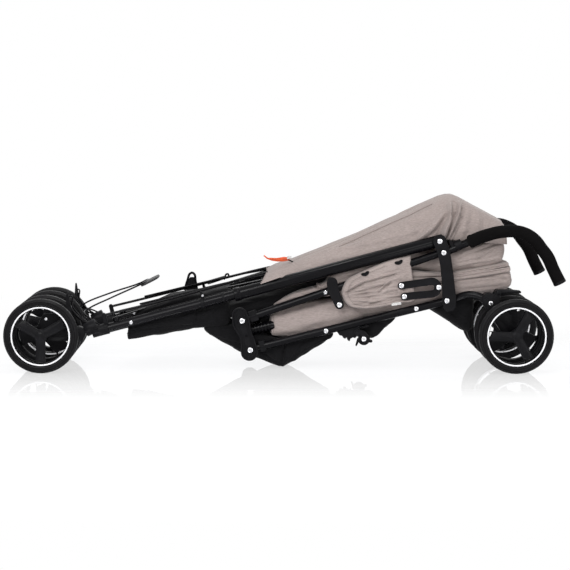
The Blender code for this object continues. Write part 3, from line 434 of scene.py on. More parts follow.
def curve_tube(name, points, radius, resolution=10, roundness=5, ends=True):
    """Tube along a smooth path through points, as a mesh."""
    curve = bpy.data.curves.new(name, "CURVE")
    curve.dimensions = "3D"
    curve.bevel_depth = radius
    curve.bevel_resolution = roundness
    curve.use_fill_caps = ends
    curve.resolution_u = resolution
    spline = curve.splines.new("BEZIER")
    spline.bezier_points.add(len(points) - 1)
    for knot, point in zip(spline.bezier_points, points):
        knot.co = point
        knot.handle_left_type = knot.handle_right_type = "AUTO"
    holder = bpy.data.objects.new(name, curve)
    bpy.context.scene.collection.objects.link(holder)
    mesh = bpy.data.meshes.new_from_object(holder.evaluated_get(bpy.context.evaluated_depsgraph_get()))
    bpy.data.objects.remove(holder)
    bpy.data.curves.remove(curve)
    work = bmesh.new()
    work.from_mesh(mesh)
    return mesh_of(name, work, True)


def arc(centre, radius, start, end, count):
    return [along(centre, start + (end - start) * i / (count - 1), radius) for i in range(count)]


def strap_outline(stations, cap_points=13):
    """Closed outline of a strap with round ends, from (x, z, half width) along its middle."""
    left, right = [], []
    last = len(stations) - 1
    for i, (x, z, half) in enumerate(stations):
        before, after = stations[max(i - 1, 0)], stations[min(i + 1, last)]
        heading = math.atan2(after[1] - before[1], after[0] - before[0])
        if i in (0, last):
            turn = heading - QUARTER if i == last else heading + QUARTER
            (right if i == last else left).extend(arc((x, z), half, turn, turn + math.pi, cap_points))
        else:
            right.append(along((x, z), heading - QUARTER, half))
            left.append(along((x, z), heading + QUARTER, half))
    return left[:cap_points] + right + left[:cap_points - 1:-1]


def smooth_stations(stations, per_gap=5):
    """Stations eased through the given ones."""
    made = []
    last = len(stations) - 1
    for i in range(last):
        p0, p1, p2, p3 = (stations[min(max(i + k, 0), last)] for k in (-1, 0, 1, 2))
        for step in range(per_gap):
            t = step / per_gap
            made.append(tuple(0.5 * (2 * b + (c - a) * t + (2 * a - 5 * b + 4 * c - d) * t * t
                                     + (3 * b - a - 3 * c + d) * t ** 3)
                              for a, b, c, d in zip(p0, p1, p2, p3)))
    made.append(stations[last])
    return made


def slab(name, outline, side, inside, thickness, dish=0.0, lip=0.0):
    """Plate from an outline, its inner face at a distance from the middle.

    With a dish, the outer face is sunk inside a lip of that width.
    """
    work = bmesh.new()
    ring = [work.verts.new((x, side * inside, z)) for x, z in outline]
    base = work.faces.new(ring)
    out = bmesh.ops.extrude_face_region(work, geom=[base])
    moved = [item for item in out["geom"] if isinstance(item, bmesh.types.BMVert)]
    bmesh.ops.translate(work, verts=moved, vec=(0.0, side * thickness, 0.0))
    bmesh.ops.recalc_face_normals(work, faces=work.faces)
    top = next(item for item in out["geom"] if isinstance(item, bmesh.types.BMFace))
    if dish:
        bmesh.ops.inset_region(work, faces=[top], thickness=lip, use_even_offset=True)
        bmesh.ops.inset_region(work, faces=[top], thickness=dish * 0.8, use_even_offset=True)
        bmesh.ops.translate(work, verts=top.verts, vec=(0.0, -side * dish, 0.0))
    return mesh_of(name, work)


def round_edges(obj, width, angle):
    """Bevel the edges sharper than an angle, in degrees."""
    rounding = obj.modifiers.new("rounded edge", "BEVEL")
    rounding.width = width
    rounding.segments = 2
    rounding.limit_method = "ANGLE"
    rounding.angle_limit = math.radians(angle)
    rounding.harden_normals = True


def add_slab(name, outline, side, inside, thickness, look, body, edge=0.0008, dish=0.0, lip=0.0,
             stands_for=()):
    obj = add_piece(name, slab(name, outline, side, inside, thickness, dish, lip), look, body, 40, stands_for)
    round_edges(obj, edge, 40)
    return obj


def join_meshes(name, meshes):
    """One mesh from several."""
    work = bmesh.new()
    for mesh in meshes:
        work.from_mesh(mesh)
        bpy.data.meshes.remove(mesh)
    return mesh_of(name, work)


# Geometry node trees
def node_tree(name, inputs):
    """Geometry node group with a geometry input, named inputs and a geometry output."""
    group = bpy.data.node_groups.new(name, "GeometryNodeTree")
    group.interface.new_socket("Geometry", in_out="INPUT", socket_type="NodeSocketGeometry")
    for label, kind, default in inputs:
        socket = group.interface.new_socket(label, in_out="INPUT", socket_type=kind)
        if default is not None:
            socket.default_value = default
    group.interface.new_socket("Geometry", in_out="OUTPUT", socket_type="NodeSocketGeometry")
    return group, group.nodes.new("NodeGroupInput"), group.nodes.new("NodeGroupOutput")


def screw_tree():
    """Dished screw head with a socket in its middle at each point, facing along one direction."""
    known = bpy.data.node_groups.get("Screw heads")
    if known:
        return known
    group, given, out = node_tree("Screw heads", [
        ("Radius", "NodeSocketFloat", 0.005), ("Height", "NodeSocketFloat", 0.002),
        ("Facing", "NodeSocketVector", None), ("Finish", "NodeSocketMaterial", None)])
    add, link = group.nodes.new, group.links.new
    head = add("GeometryNodeMeshCylinder")
    head.inputs["Vertices"].default_value = 20
    link(given.outputs["Radius"], head.inputs["Radius"])
    link(given.outputs["Height"], head.inputs["Depth"])
    geometry, chosen = head.outputs["Mesh"], head.outputs["Top"]
    for lift, shrink in ((0.0006, 0.80), (0.0, 0.52), (-0.0012, 0.9)):
        extrude = add("GeometryNodeExtrudeMesh")
        extrude.mode = "FACES"
        link(geometry, extrude.inputs["Mesh"])
        link(chosen, extrude.inputs["Selection"])
        extrude.inputs["Offset Scale"].default_value = lift
        shrinker = add("GeometryNodeScaleElements")
        link(extrude.outputs["Mesh"], shrinker.inputs["Geometry"])
        link(extrude.outputs["Top"], shrinker.inputs["Selection"])
        shrinker.inputs["Scale"].default_value = shrink
        geometry, chosen = shrinker.outputs["Geometry"], extrude.outputs["Top"]
    turn = add("FunctionNodeAlignRotationToVector")
    turn.axis = "Z"
    link(given.outputs["Facing"], turn.inputs["Vector"])
    set_on_points(group, given, out, given.outputs["Geometry"], geometry, turn)
    return group


def set_on_points(group, given, out, points, shape, turn):
    """End of a tree: the shape set on each point, made real and given its finish."""
    add, link = group.nodes.new, group.links.new
    place = add("GeometryNodeInstanceOnPoints")
    link(points, place.inputs["Points"])
    link(shape, place.inputs["Instance"])
    link(turn.outputs["Rotation"], place.inputs["Rotation"])
    real = add("GeometryNodeRealizeInstances")
    link(place.outputs["Instances"], real.inputs["Geometry"])
    paint = add("GeometryNodeSetMaterial")
    link(real.outputs["Geometry"], paint.inputs["Geometry"])
    link(given.outputs["Finish"], paint.inputs["Material"])
    link(paint.outputs["Geometry"], out.inputs["Geometry"])


def stitch_tree():
    """Stitches at even steps along an edge line."""
    known = bpy.data.node_groups.get("Stitches")
    if known:
        return known
    group, given, out = node_tree("Stitches", [
        ("Step", "NodeSocketFloat", 0.004), ("Size", "NodeSocketVector", None),
        ("Finish", "NodeSocketMaterial", None)])
    add, link = group.nodes.new, group.links.new
    line = add("GeometryNodeMeshToCurve")
    link(given.outputs["Geometry"], line.inputs["Mesh"])
    places = add("GeometryNodeCurveToPoints")
    places.mode = "LENGTH"
    link(line.outputs["Curve"], places.inputs["Curve"])
    link(given.outputs["Step"], places.inputs["Length"])
    turn = add("FunctionNodeAlignRotationToVector")
    turn.axis = "X"
    link(places.outputs["Tangent"], turn.inputs["Vector"])
    stitch = add("GeometryNodeMeshCube")
    link(given.outputs["Size"], stitch.inputs["Size"])
    set_on_points(group, given, out, places.outputs["Points"], stitch.outputs["Mesh"], turn)
    return group


def grown(name, points, edges, tree, values):
    """Run a node tree on a few points or edges and return the mesh that it makes."""
    seed = bpy.data.meshes.new(f"{name}_places")
    seed.from_pydata([tuple(p) for p in points], edges, [])
    holder = bpy.data.objects.new(f"{name}_maker", seed)
    bpy.context.scene.collection.objects.link(holder)
    modifier = holder.modifiers.new("maker", "NODES")
    modifier.node_group = tree
    sockets = {item.name: item.identifier for item in tree.interface.items_tree
               if item.item_type == "SOCKET" and item.in_out == "INPUT"}
    for label, value in values.items():
        modifier[sockets[label]] = value
    bpy.context.view_layer.update()
    mesh = bpy.data.meshes.new_from_object(holder.evaluated_get(bpy.context.evaluated_depsgraph_get()))
    bpy.data.objects.remove(holder)
    bpy.data.meshes.remove(seed)
    mesh.name = name
    return mesh


def add_screws(name, places, side, body, radius=None, look="screw_steel"):
    sizes = bpy.context.scene.stroller_sizes
    mesh = grown(name, [(x, side * y, z) for x, y, z in places], [], screw_tree(), {
        "Radius": radius or sizes.screw_radius, "Height": 0.0022, "Facing": (0.0, side, 0.0),
        "Finish": finish(look)})
    return add_piece(name, mesh, look, body, 35)


def add_stitches(name, line, body):
    sizes = bpy.context.scene.stroller_sizes
    edges = [(i, i + 1) for i in range(len(line) - 1)]
    mesh = grown(name, line, edges, stitch_tree(), {
        "Step": sizes.stitch_step, "Size": (sizes.stitch_step * 0.62, 0.0008, 0.0008),
        "Finish": finish("stitch_thread")})
    return add_piece(name, mesh, "stitch_thread", body, 35)


# Wheels
def spoke_outline(width):
    """Outline of three broad spokes with filleted roots, about the origin."""
    half, fillet, reach = width / 2, 0.010, 0.0565
    made = []
    for number in range(3):
        spoke = math.tau * number / 3
        c, s = math.cos(spoke), math.sin(spoke)
        for out, across in ((reach, -half * 1.18), (reach * 0.86, -half * 0.98),
                            (reach, half * 1.18), (reach * 0.86, half * 0.98)):
            made.append((c * out - s * across, s * out + c * across))
        bisector = spoke + math.pi / 3
        distance = (half + fillet) / math.sin(math.pi / 3)
        centre = (math.cos(bisector) * distance, math.sin(bisector) * distance)
        for step in range(7):
            turn = bisector + math.pi + math.radians(30) - math.radians(60) * step / 6
            made.append((centre[0] + math.cos(turn) * fillet, centre[1] + math.sin(turn) * fillet))
    return made


RIM_PROFILE = [(11.2, 60.6), (11.6, 59.8), (11.4, 57.6), (10.2, 56.4), (8.4, 55.6), (5.0, 54.9), (-4.0, 54.7),
               (-9.2, 55.6), (-11.0, 57.4), (-11.0, 60.6)]
HUB_PROFILE = [(10.8, 0), (10.6, 4), (9.6, 8), (7.6, 11), (5.0, 12.6), (-12.0, 12.8), (-12.0, 0)]
SIDE_WALL = [(1.0, 75.0), (1.6, 74.1), (2.6, 74.1), (3.2, 75.0), (6.6, 74.7), (7.4, 73.0), (8.4, 73.0),
             (9.2, 74.0), (11.0, 72.6), (12.9, 70.4), (13.2, 69.8), (12.4, 69.2), (12.4, 68.5), (14.0, 67.7),
             (14.0, 66.4), (12.3, 65.8), (12.3, 64.2), (13.6, 63.2), (13.2, 61.6), (12.2, 60.9)]
RING_LIFT = 0.0117


def add_wheel(label, axle, centre_y, outward, spoke_angle, wide, body):
    """Rim with its ring and spokes, and its tyre; outward is the sign of the side away from the fork."""
    sizes = bpy.context.scene.stroller_sizes
    centre = (axle[0], centre_y, axle[1])
    facing = (0.0, outward, 0.0)
    band = turned("rim", centre, facing, in_metres(RIM_PROFILE), 72, closed=True)
    hub = turned("hub", centre, facing, in_metres(HUB_PROFILE), 40)
    work = bmesh.new()
    cos, sin = math.cos(spoke_angle), math.sin(spoke_angle)
    ring = []
    for x, z in spoke_outline(sizes.spoke_width * wide):
        ring.append(work.verts.new((centre[0] + x * cos - z * sin, centre_y + outward * -2.0 * MM,
                                    centre[2] + x * sin + z * cos)))
    base = work.faces.new(ring)
    out = bmesh.ops.extrude_face_region(work, geom=[base])
    moved = [item for item in out["geom"] if isinstance(item, bmesh.types.BMVert)]
    bmesh.ops.translate(work, verts=moved, vec=(0.0, outward * 10.0 * MM, 0.0))
    bmesh.ops.recalc_face_normals(work, faces=work.faces)
    top = next(item for item in out["geom"] if isinstance(item, bmesh.types.BMFace))
    for inset, drop in ((0.0008, 0.0), (0.0016, 0.0), (0.0022, 0.0010)):
        bmesh.ops.inset_region(work, faces=[top], thickness=inset, use_even_offset=True)
        if drop:
            bmesh.ops.translate(work, verts=top.verts, vec=(0.0, outward * drop, 0.0))
    edge = [e for e in work.edges if not e.is_boundary and e.calc_face_angle(0.0) > math.radians(60)
            and all(abs(v.co.y - (centre_y + outward * 8.0 * MM)) < 1e-5 for v in e.verts)]
    bmesh.ops.bevel(work, geom=edge, offset=0.0026, segments=3, profile=0.5, affect="EDGES",
                    clamp_overlap=True)
    spokes = mesh_of("spokes", work)
    rim = add_piece(f"rim_{label}", join_meshes(f"rim_{label}", [band, hub, spokes]), "rim_plastic", body, 42,
                    [f"wheel_{label}"])
    middle, half = sizes.ring_radius, sizes.ring_width / 2
    ring_profile = [(RING_LIFT - 0.0012, middle - half), (RING_LIFT, middle - half * 0.8),
                    (RING_LIFT + 0.0006, middle - half * 0.3), (RING_LIFT + 0.0006, middle + half * 0.3),
                    (RING_LIFT, middle + half * 0.8), (RING_LIFT - 0.0012, middle + half)]
    ring = turned("ring", centre, facing, ring_profile, 96, closed=True)
    add_piece(f"ring_{label}", ring, "white_ring", body, 60)
    tread = [(-d, r) for d, r in reversed(SIDE_WALL)] + SIDE_WALL
    tyre = turned("tyre", centre, facing, in_metres(tread), 96, closed=True)
    add_piece(f"rolling_tyre_{label}", tyre, "tyre_rubber", body, 38, [f"tyre_{label}"])
    return rim


# Turn of the spokes of the outer and inner wheel, and how much wider the inner spokes are
SPOKES = {"front_near": (30, 75), "front_far": (30, 52), "rear_near": (60, 95), "rear_far": (60, 20)}
INNER_SPOKES = 1.6
AXLE_REACH = 0.043


def make_wheels():
    for end, axle, track in (("front", FRONT_AXLE, HALF_SPACING), ("rear", REAR_AXLE, REAR_HALF_TRACK)):
        for name, side in SIDES.items():
            outer, inner = SPOKES[f"{end}_{name}"]
            body = f"{end}_wheels_{name}"
            for place, outward, angle, wide in (("outer", side, outer, 1.0),
                                                ("inner", -side, inner, INNER_SPOKES)):
                add_wheel(f"{end}_{name}_{place}", axle, side * track + outward * PAIR_HALF_GAP, outward,
                          math.radians(angle), wide, body)
            length = 2 * AXLE_REACH
            profile = [(-0.0012, 0.0), (-0.0012, 0.0030), (0.0, 0.0040), (length, 0.0040),
                       (length + 0.0012, 0.003), (length + 0.0012, 0.0)]
            shaft = turned("axle", (axle[0], side * track - AXLE_REACH, axle[1]), (0, 1, 0), profile, 20)
            add_piece(f"shaft_{end}_{name}", shaft, "axle_steel", body, 40, [f"axle_{end}_{name}"])


# Tubes
def push_path(side):
    """Middle of the push tube from the knuckle to the end of its handle."""
    low = along(RIVET_D, PUSH_ANGLE, -0.012)
    flare = along(RIVET_B, PUSH_ANGLE, 0.022)
    crook = [(54, 22.5, 104), (84, 35.6, 119), (112, 43.4, 133), (138, 45.2, 139), (160, 39.8, 140),
             (179, 27.4, 140), (193, 10, 140), (206, -8, 140), (216.5, -31, 140), (231, -60, 140)]
    points = [(low[0], side * 0.094, low[1]), (RIVET_B[0], side * 0.094, RIVET_B[1]),
              (flare[0], side * 0.0955, flare[1])]
    return points + [(RIVET_B[0] + x * MM, side * y * MM, RIVET_B[1] + z * MM) for x, z, y in crook]


def rear_path(side):
    """Middle of the rear leg tube down to its housing."""
    low = along(RIVET_E, REAR_ANGLE, -0.012)
    mid = along(RIVET_E, REAR_ANGLE, 0.2982)
    bend = along(RIVET_E, REAR_ANGLE, 0.426)
    crest = offset(HOUSING_HEAD, (-37, 9))
    y = HALF_SPACING
    return [(low[0], side * y, low[1]), (mid[0], side * y, mid[1]), (bend[0], side * y, bend[1]),
            (crest[0], side * 0.106, crest[1]), (HOUSING_HEAD[0], side * REAR_HALF_TRACK, HOUSING_HEAD[1])]


def make_tubes():
    lean = (math.cos(LEG_ANGLE), 0.0, math.sin(LEG_ANGLE))
    up = (-math.sin(LEG_ANGLE), 0.0, math.cos(LEG_ANGLE))
    down = (math.sin(REAR_ANGLE), 0.0, -math.cos(REAR_ANGLE))
    foot = along(RIVET_A, LEG_ANGLE, -0.7028)
    sleeve_foot = along(RIVET_A, LEG_ANGLE, 0.012 - 0.428 - 0.013)
    for name, side in SIDES.items():
        body, y = f"frame_{name}", side * HALF_SPACING
        profile = [(0, 0), (0, 0.0088), (0.0008, LEG_RADIUS), (0.338, LEG_RADIUS), (0.338, 0)]
        tube = turned("leg", (foot[0], y, foot[1]), lean, profile, 40)
        add_piece(f"leg_tube_{name}", tube, "frame_paint", body, 40, [f"front_leg_{name}"])

        def groove(angle, distance, outward=side):
            swing = math.atan2(math.sin(angle + outward * 1.66), math.cos(angle + outward * 1.66))
            return 1.0 - 0.075 * math.exp(-(swing / 0.085) ** 2) if distance > 0.018 else 1.0

        collar = [(0.004, 0.0098), (0, 0.0098), (0, 0.0128), (0.0012, 0.0139), (0.0115, 0.0139),
                  (0.0130, 0.0134), (0.0136, 0.0126), (0.0200, SLEEVE_RADIUS), (0.439, SLEEVE_RADIUS),
                  (0.441, 0.0112), (0.441, 0.0)]
        sleeve = turned("sleeve", (sleeve_foot[0], y, sleeve_foot[1]), lean, collar, 96, shape=groove)
        post_low, post_top = 0.009, 0.0125 + (0.0006 if name == "near" else 0.0034) + 0.0025 + 0.0003
        base = along(along(RIVET_A, LEG_ANGLE, -0.3496), LEG_ANGLE + QUARTER, post_low)
        post = turned("post", (base[0], y, base[1]), up, rivet_profile(post_top - post_low), 20)
        add_piece(f"sleeve_tube_{name}", join_meshes("sleeve", [sleeve, post]), "frame_paint", body, 40,
                  [f"leg_sleeve_{name}"])
        push = curve_tube("push", push_path(side)[:-1], TUBE_RADIUS, 16, 6)
        add_piece(f"handle_tube_{name}", push, "frame_paint", body, 60, [f"push_tube_{name}"])
        rear = curve_tube("rear", rear_path(side), TUBE_RADIUS, 14, 6)
        spot = along(along(RIVET_E, REAR_ANGLE, 0.240), REAR_ANGLE - QUARTER, 0.005)
        drop = 0.008 + (0.0006 if name == "near" else 0.0039) + 0.003 + 0.0003 - 0.005
        stub = turned("stub", (spot[0], y, spot[1]), down, rivet_profile(drop), 20)
        add_piece(f"rear_tube_{name}", join_meshes("rear", [rear, stub]), "frame_paint", f"rear_leg_{name}",
                  60, [f"rear_leg_{name}"])


def rivet_profile(height):
    """Shank of that height with a low head on it."""
    return [(0, 0), (0, 0.003), (height, 0.003), (height, 0.0054), (height + 0.0015, 0.0047),
            (height + 0.0023, 0.0)]


def make_grips():
    """Foam over each handle, a little fuller at its bends, closed by an end cap."""
    for name, side in SIDES.items():
        path = push_path(side)
        mesh = curve_tube("foam", path[3:], 0.0128, 12, 9)
        for vertex in mesh.vertices:
            swell = noise.noise(vertex.co * 38.0 + Vector((side, 0, 0))) * 0.0004
            vertex.co += vertex.normal * swell
        add_piece(f"foam_grip_{name}", mesh, "grip_foam", f"frame_{name}", 60, [f"grip_{name}"])
        end, before = Vector(path[-1]), Vector(path[-2])
        facing = (end - before).normalized()
        profile = [(0, 0.0130), (0.0045, 0.0133), (0.0062, 0.0122), (0.0066, 0.0095), (0.0060, 0.0)]
        cap = turned("cap", end - facing * 0.006, facing, profile, 36)
        add_piece(f"grip_cap_{name}", cap, "plate_plastic", f"frame_{name}", 40)
        start, after = Vector(path[3]), Vector(path[4])
        facing = (after - start).normalized()
        profile = [(0, 0.0082), (0, 0.0118), (0.001, 0.0131), (0.004, 0.0134), (0.007, 0.0131)]
        lip = turned("lip", start - facing * 0.002, facing, profile, 36)
        add_piece(f"grip_lip_{name}", lip, "grip_foam", f"frame_{name}", 40)


# Plates
def make_plates():
    for name, side in SIDES.items():
        body = f"frame_{name}"
        shape = [(0, 0, 13.5), (8, -23.2, 12.8), (13.6, -52.7, 12.1), (17.7, -90, 13), (19.6, -115, 14),
                 (20.2, -129, 13)]
        stations = stations_from(RIVET_A, shape)
        add_slab(f"hinge_cover_{name}", strap_outline(smooth_stations(stations)), side, HINGE_INSIDE, 0.0030,
                 "plate_plastic", body, 0.0007, 0.0007, 0.0022, [f"hinge_plate_{name}"])
        stud = turned("stud", (CATCH[0], side * 0.1030, CATCH[1]), (0, side, 0),
                      [(0, 0), (0, 0.003), (0.005, 0.003), (0.005, 0)], 16)
        add_piece(f"catch_stud_{name}", stud, "axle_steel", body, 40)
        bend = offset(RIVET_A, (-16, -94))
        path = [offset(RIVET_A, STAY_UPPER), *arc(bend, 0.013, QUARTER, -QUARTER, 11),
                offset(RIVET_A, STAY_LOWER)]
        add_slab(f"stay_cover_{name}", strap_outline([(x, z, 0.0075) for x, z in path]), side, STAY_INSIDE,
                 0.0030, "plate_plastic", body, 0.0007, 0.0006, 0.0018, [f"stay_{name}"])
        shape = [(-4, 14, 11), (-2, 2, 11), (4, -14, 10), (11, -31, 9)]
        stations = stations_from(SADDLE_PIN, shape)
        add_slab(f"saddle_cover_{name}", strap_outline(smooth_stations(stations)), side, KNUCKLE_INSIDE,
                 0.0040, "plate_plastic", body, 0.0009, 0.0008, 0.0020, [f"saddle_{name}"])
        shape = [(-5, 10.6, 16), (-1.3, -6.2, 17.7), (6.2, -26.7, 13.5), (11.8, -45.4, 15), (14.6, -64, 17.4)]
        stations = stations_from(RIVET_D, shape)
        add_slab(f"knuckle_cover_{name}", strap_outline(smooth_stations(stations)), side, KNUCKLE_INSIDE,
                 0.0100, "plate_plastic", f"knuckle_{name}", 0.0018, 0.0012, 0.0030, [f"knuckle_{name}"])
        for number, share in enumerate((0.72, 0.44)):
            rim = strap_outline([(x, z, half * share) for x, z, half in smooth_stations(stations)])
            line = [(x / MM, side * 112.2, z / MM) for x, z in rim + rim[:1]]
            add_wire(f"knuckle_relief_{name}_{number}", line, 0.5, "plate_plastic", f"knuckle_{name}")
        add_screws(f"knuckle_hole_{name}", [(RIVET_D[0] + 0.0085, 0.1118, RIVET_D[1] - 0.0305)], side,
                   f"knuckle_{name}", 0.0022, "gloss_black")
        ridges = []
        for number, radius in enumerate((0.0085, 0.0120)):
            for pin in (RIVET_D, RIVET_E):
                ridges.append(turned("ridge", (pin[0], side * 0.1105, pin[1]), (0, side, 0),
                                     [(0, radius - 0.0008), (0.0012, radius - 0.0005),
                                      (0.0012, radius + 0.0005), (0, radius + 0.0008)], 40, closed=True))
        add_piece(f"knuckle_ridges_{name}", join_meshes("ridges", ridges), "plate_plastic",
                  f"knuckle_{name}", 30)


def make_screws():
    """Bright screw heads where the photograph shows them, one mesh on each body."""
    for name, side in SIDES.items():
        face = PLATE_OUTSIDE
        stay_face, saddle_face = 0.1062 - 0.0004, 0.1063
        upper, lower = offset(RIVET_A, STAY_UPPER), offset(RIVET_A, STAY_LOWER)
        stay_pin, lug = offset(RIVET_A, (-1.5, -93.2)), offset(SADDLE_PIN, (11, -31))
        places = [(RIVET_A[0], face, RIVET_A[1]), (RIVET_B[0], face, RIVET_B[1]),
                  (CATCH[0], face, CATCH[1]), (upper[0], stay_face, upper[1]),
                  (lower[0], stay_face, lower[1]), (stay_pin[0], face, stay_pin[1]),
                  (lug[0], saddle_face, lug[1])]
        add_screws(f"screws_frame_{name}", places, side, f"frame_{name}")
        tube = along(RIVET_D, PUSH_ANGLE, 0.178)
        leg = along(RIVET_A, LEG_ANGLE, -0.645)
        small = [(tube[0], 0.1016, tube[1]), (leg[0], 0.1032, leg[1])]
        add_screws(f"small_screws_frame_{name}", small, side, f"frame_{name}", 0.0038)
        for label, pin, rider, node in (("knuckle", RIVET_D, "frame", "knuckle_pin"),
                                        ("rear_pin", RIVET_E, "rear_leg", "rear_leg_pin")):
            screw = add_screws(f"screws_{label}_{name}", [(pin[0], 0.1120, pin[1])], side,
                               f"{rider}_{name}", 0.0052)
            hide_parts(f"{node}_{name}")
        clip, clip_2 = along(RIVET_E, REAR_ANGLE, 0.158), along(RIVET_E, REAR_ANGLE, 0.3465)
        places = [(clip[0], 0.1016, clip[1]), (clip_2[0], 0.1016, clip_2[1])]
        add_screws(f"screws_rear_leg_{name}", places, side, f"rear_leg_{name}", 0.0044)


# Hard CAD nodes that keep their shape
KEPT = {
    "fork": "rim_plastic", "leg_socket": "rim_plastic", "rear_housing": "rim_plastic",
    "brake_pedal": "plate_plastic", "cross_bar": "frame_paint", "strut": "frame_paint",
}


def dress_kept_nodes():
    """Welded, softly edged and finished CAD nodes; their own meshes keep their places."""
    for start, look in KEPT.items():
        for name in SIDES:
            obj = bpy.data.objects[f"{start}_{name}"]
            while len(obj.material_slots) < 1:
                obj.data.materials.append(None)
            for place in obj.material_slots:
                place.link = "OBJECT"
                place.material = finish(look)
            obj.data.polygons.foreach_set("use_smooth", [True] * len(obj.data.polygons))
            weld = obj.modifiers.new("joined", "WELD")
            weld.merge_threshold = 1e-5
            round_edges(obj, 0.0010, 38)


# Cloth
def crease(x, z, start, end, width):
    """Depth of a crease along a line from start to end: 1 in the crease, below 0 on the crest beside it."""
    (x0, z0), (x1, z1) = start, end
    dx, dz = x1 - x0, z1 - z0
    length = math.hypot(dx, dz)
    t = ((x - x0) * dx + (z - z0) * dz) / (length * length)
    near = min(max(t, 0.0), 1.0)
    off_x, off_z = x - x0 - near * dx, z - z0 - near * dz
    gap = math.hypot(off_x, off_z)
    if gap > 6 * width:
        return 0.0
    beside = (off_z * dx - off_x * dz) / length
    ends = math.sin(math.pi * min(max(t, 0.02), 0.98)) ** 0.5
    crest = math.exp(-((beside - 1.8 * width) / (0.8 * width)) ** 2) * (0.5 if abs(t - 0.5) < 0.5 else 0.0)
    return (math.exp(-(gap / width) ** 1.4) - crest) * ends


def rumple(x, y, z, length, width, seed):
    """Folds that run along X: 0 in the creases, 1 on the crests."""
    value = noise.noise(Vector((x / length + seed * 7.3, y / width, z / width + seed)))
    return min(1.0, abs(value) * 2.6) ** 0.8


def bundle_rows(keys, steps, around, nose, tail, side_power, top_power, taper):
    """Rings of a cloth roll through keys of (x, low, high, half width), in mm, with rounded ends."""
    stations = smooth_stations(keys, max(2, steps // (len(keys) - 1)))
    first, last = stations[0][0], stations[-1][0]
    xs = [station[0] for station in stations]

    def at(x):
        x = min(max(x, first), last)
        place = max(i for i in range(len(xs)) if xs[i] <= x + 1e-9)
        place = min(place, len(xs) - 2)
        part = (x - xs[place]) / (xs[place + 1] - xs[place])
        return [a + (b - a) * part for a, b in zip(stations[place][1:], stations[place + 1][1:])]

    shares = (0.0, 0.04, 0.15, 0.35, 0.62)
    places = [first + nose * share for share in shares]
    places += list(np.linspace(first + nose, last - tail, steps))
    places += [last - tail * share for share in reversed(shares)]
    rows = []
    for x in places:
        low, high, half = at(x)
        shrink = 1.0
        if nose and x < first + nose:
            shrink = math.sqrt(max(0.0, 1.0 - ((first + nose - x) / nose) ** 2))
        if tail and x > last - tail:
            shrink = min(shrink, math.sqrt(max(0.0, 1.0 - ((x - last + tail) / tail) ** 2)))
        shrink = max(shrink, 0.06)
        mid, tall = (low + high) / 2, (high - low) / 2 * shrink
        wide = half - (1.0 - shrink) * min(half * 0.5, tall + 6.0)
        row = []
        for step in range(around):
            angle = math.tau * step / around
            c, s = math.cos(angle), math.sin(angle)
            z = mid + tall * math.copysign(abs(s) ** top_power, s)
            narrow = 1.0 - taper * (z - low) / max(high - low, 1.0)
            row.append((x, wide * narrow * math.copysign(abs(c) ** side_power, c), z))
        rows.append(row)
    return rows


def add_bundle(name, keys, look, steps=90, around=96, nose=10.0, tail=10.0, side_power=0.42, top_power=0.7,
               taper=0.0, shape=None, stands_for=()):
    """Closed cloth roll between the frames; shape(x, y, z) gives how far a point moves outward, in mm."""
    rows = bundle_rows(keys, steps, around, nose, tail, side_power, top_power, taper)
    mesh = grid_mesh(name, [[Vector(p) * MM for p in row] for row in rows])
    if shape:
        gather(mesh, shape)
    obj = add_piece(name, mesh, look, None, 180)
    if stands_for:
        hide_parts(*stands_for)
    return obj


def gather(mesh, shape):
    """Move each point outward by shape(x, y, z), all in mm."""
    normals = [v.normal.copy() for v in mesh.vertices]
    for vertex, normal in zip(mesh.vertices, normals):
        vertex.co += normal * shape(*(vertex.co / MM)) * MM


def across_frames(obj):
    """Let a cloth piece stretch between the two side frames."""
    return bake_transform(obj)


CANOPY_FOLDS = [
    ((337, 342), (335, 304), 4.6, 2.5), ((336, 310), (316, 262), 4.6, 2.9),
    ((358, 344), (352, 312), 4.2, 2.2), ((353, 318), (326, 260), 4.2, 2.6),
    ((336, 334), (302, 296), 7.0, 1.0), ((306, 300), (268, 264), 6.5, 1.5),
    ((318, 312), (284, 262), 6.0, 0.9), ((300, 304), (252, 276), 6.0, 0.7),
    ((398, 330), (388, 264), 9.0, 0.45), ((376, 336), (358, 264), 7.0, 0.45),
    ((130, 250), (262, 290), 6.0, 0.40), ((20, 215), (140, 236), 6.0, 0.32),
    ((60, 238), (205, 262), 5.0, 0.30), ((428, 304), (440, 262), 6.0, 0.4),
    ((250, 322), (300, 300), 7.0, 0.35), ((180, 262), (246, 276), 5.0, 0.35),
    ((-20, 186), (60, 204), 5.0, 0.35),
]


def canopy_top(x):
    """Height of the canopy's crest over the photograph's silhouette, in mm."""
    xs = [-48, -42, -19, 32, 114, 196, 257, 292, 298, 320, 334, 346, 360, 380, 400, 430, 446, 452]
    zs = [190.5, 194, 206, 226, 259, 294, 321, 338, 341, 351, 354.5, 354.5, 349, 338.5, 328, 311.5, 301, 290]
    return float(np.interp(x, xs, zs))


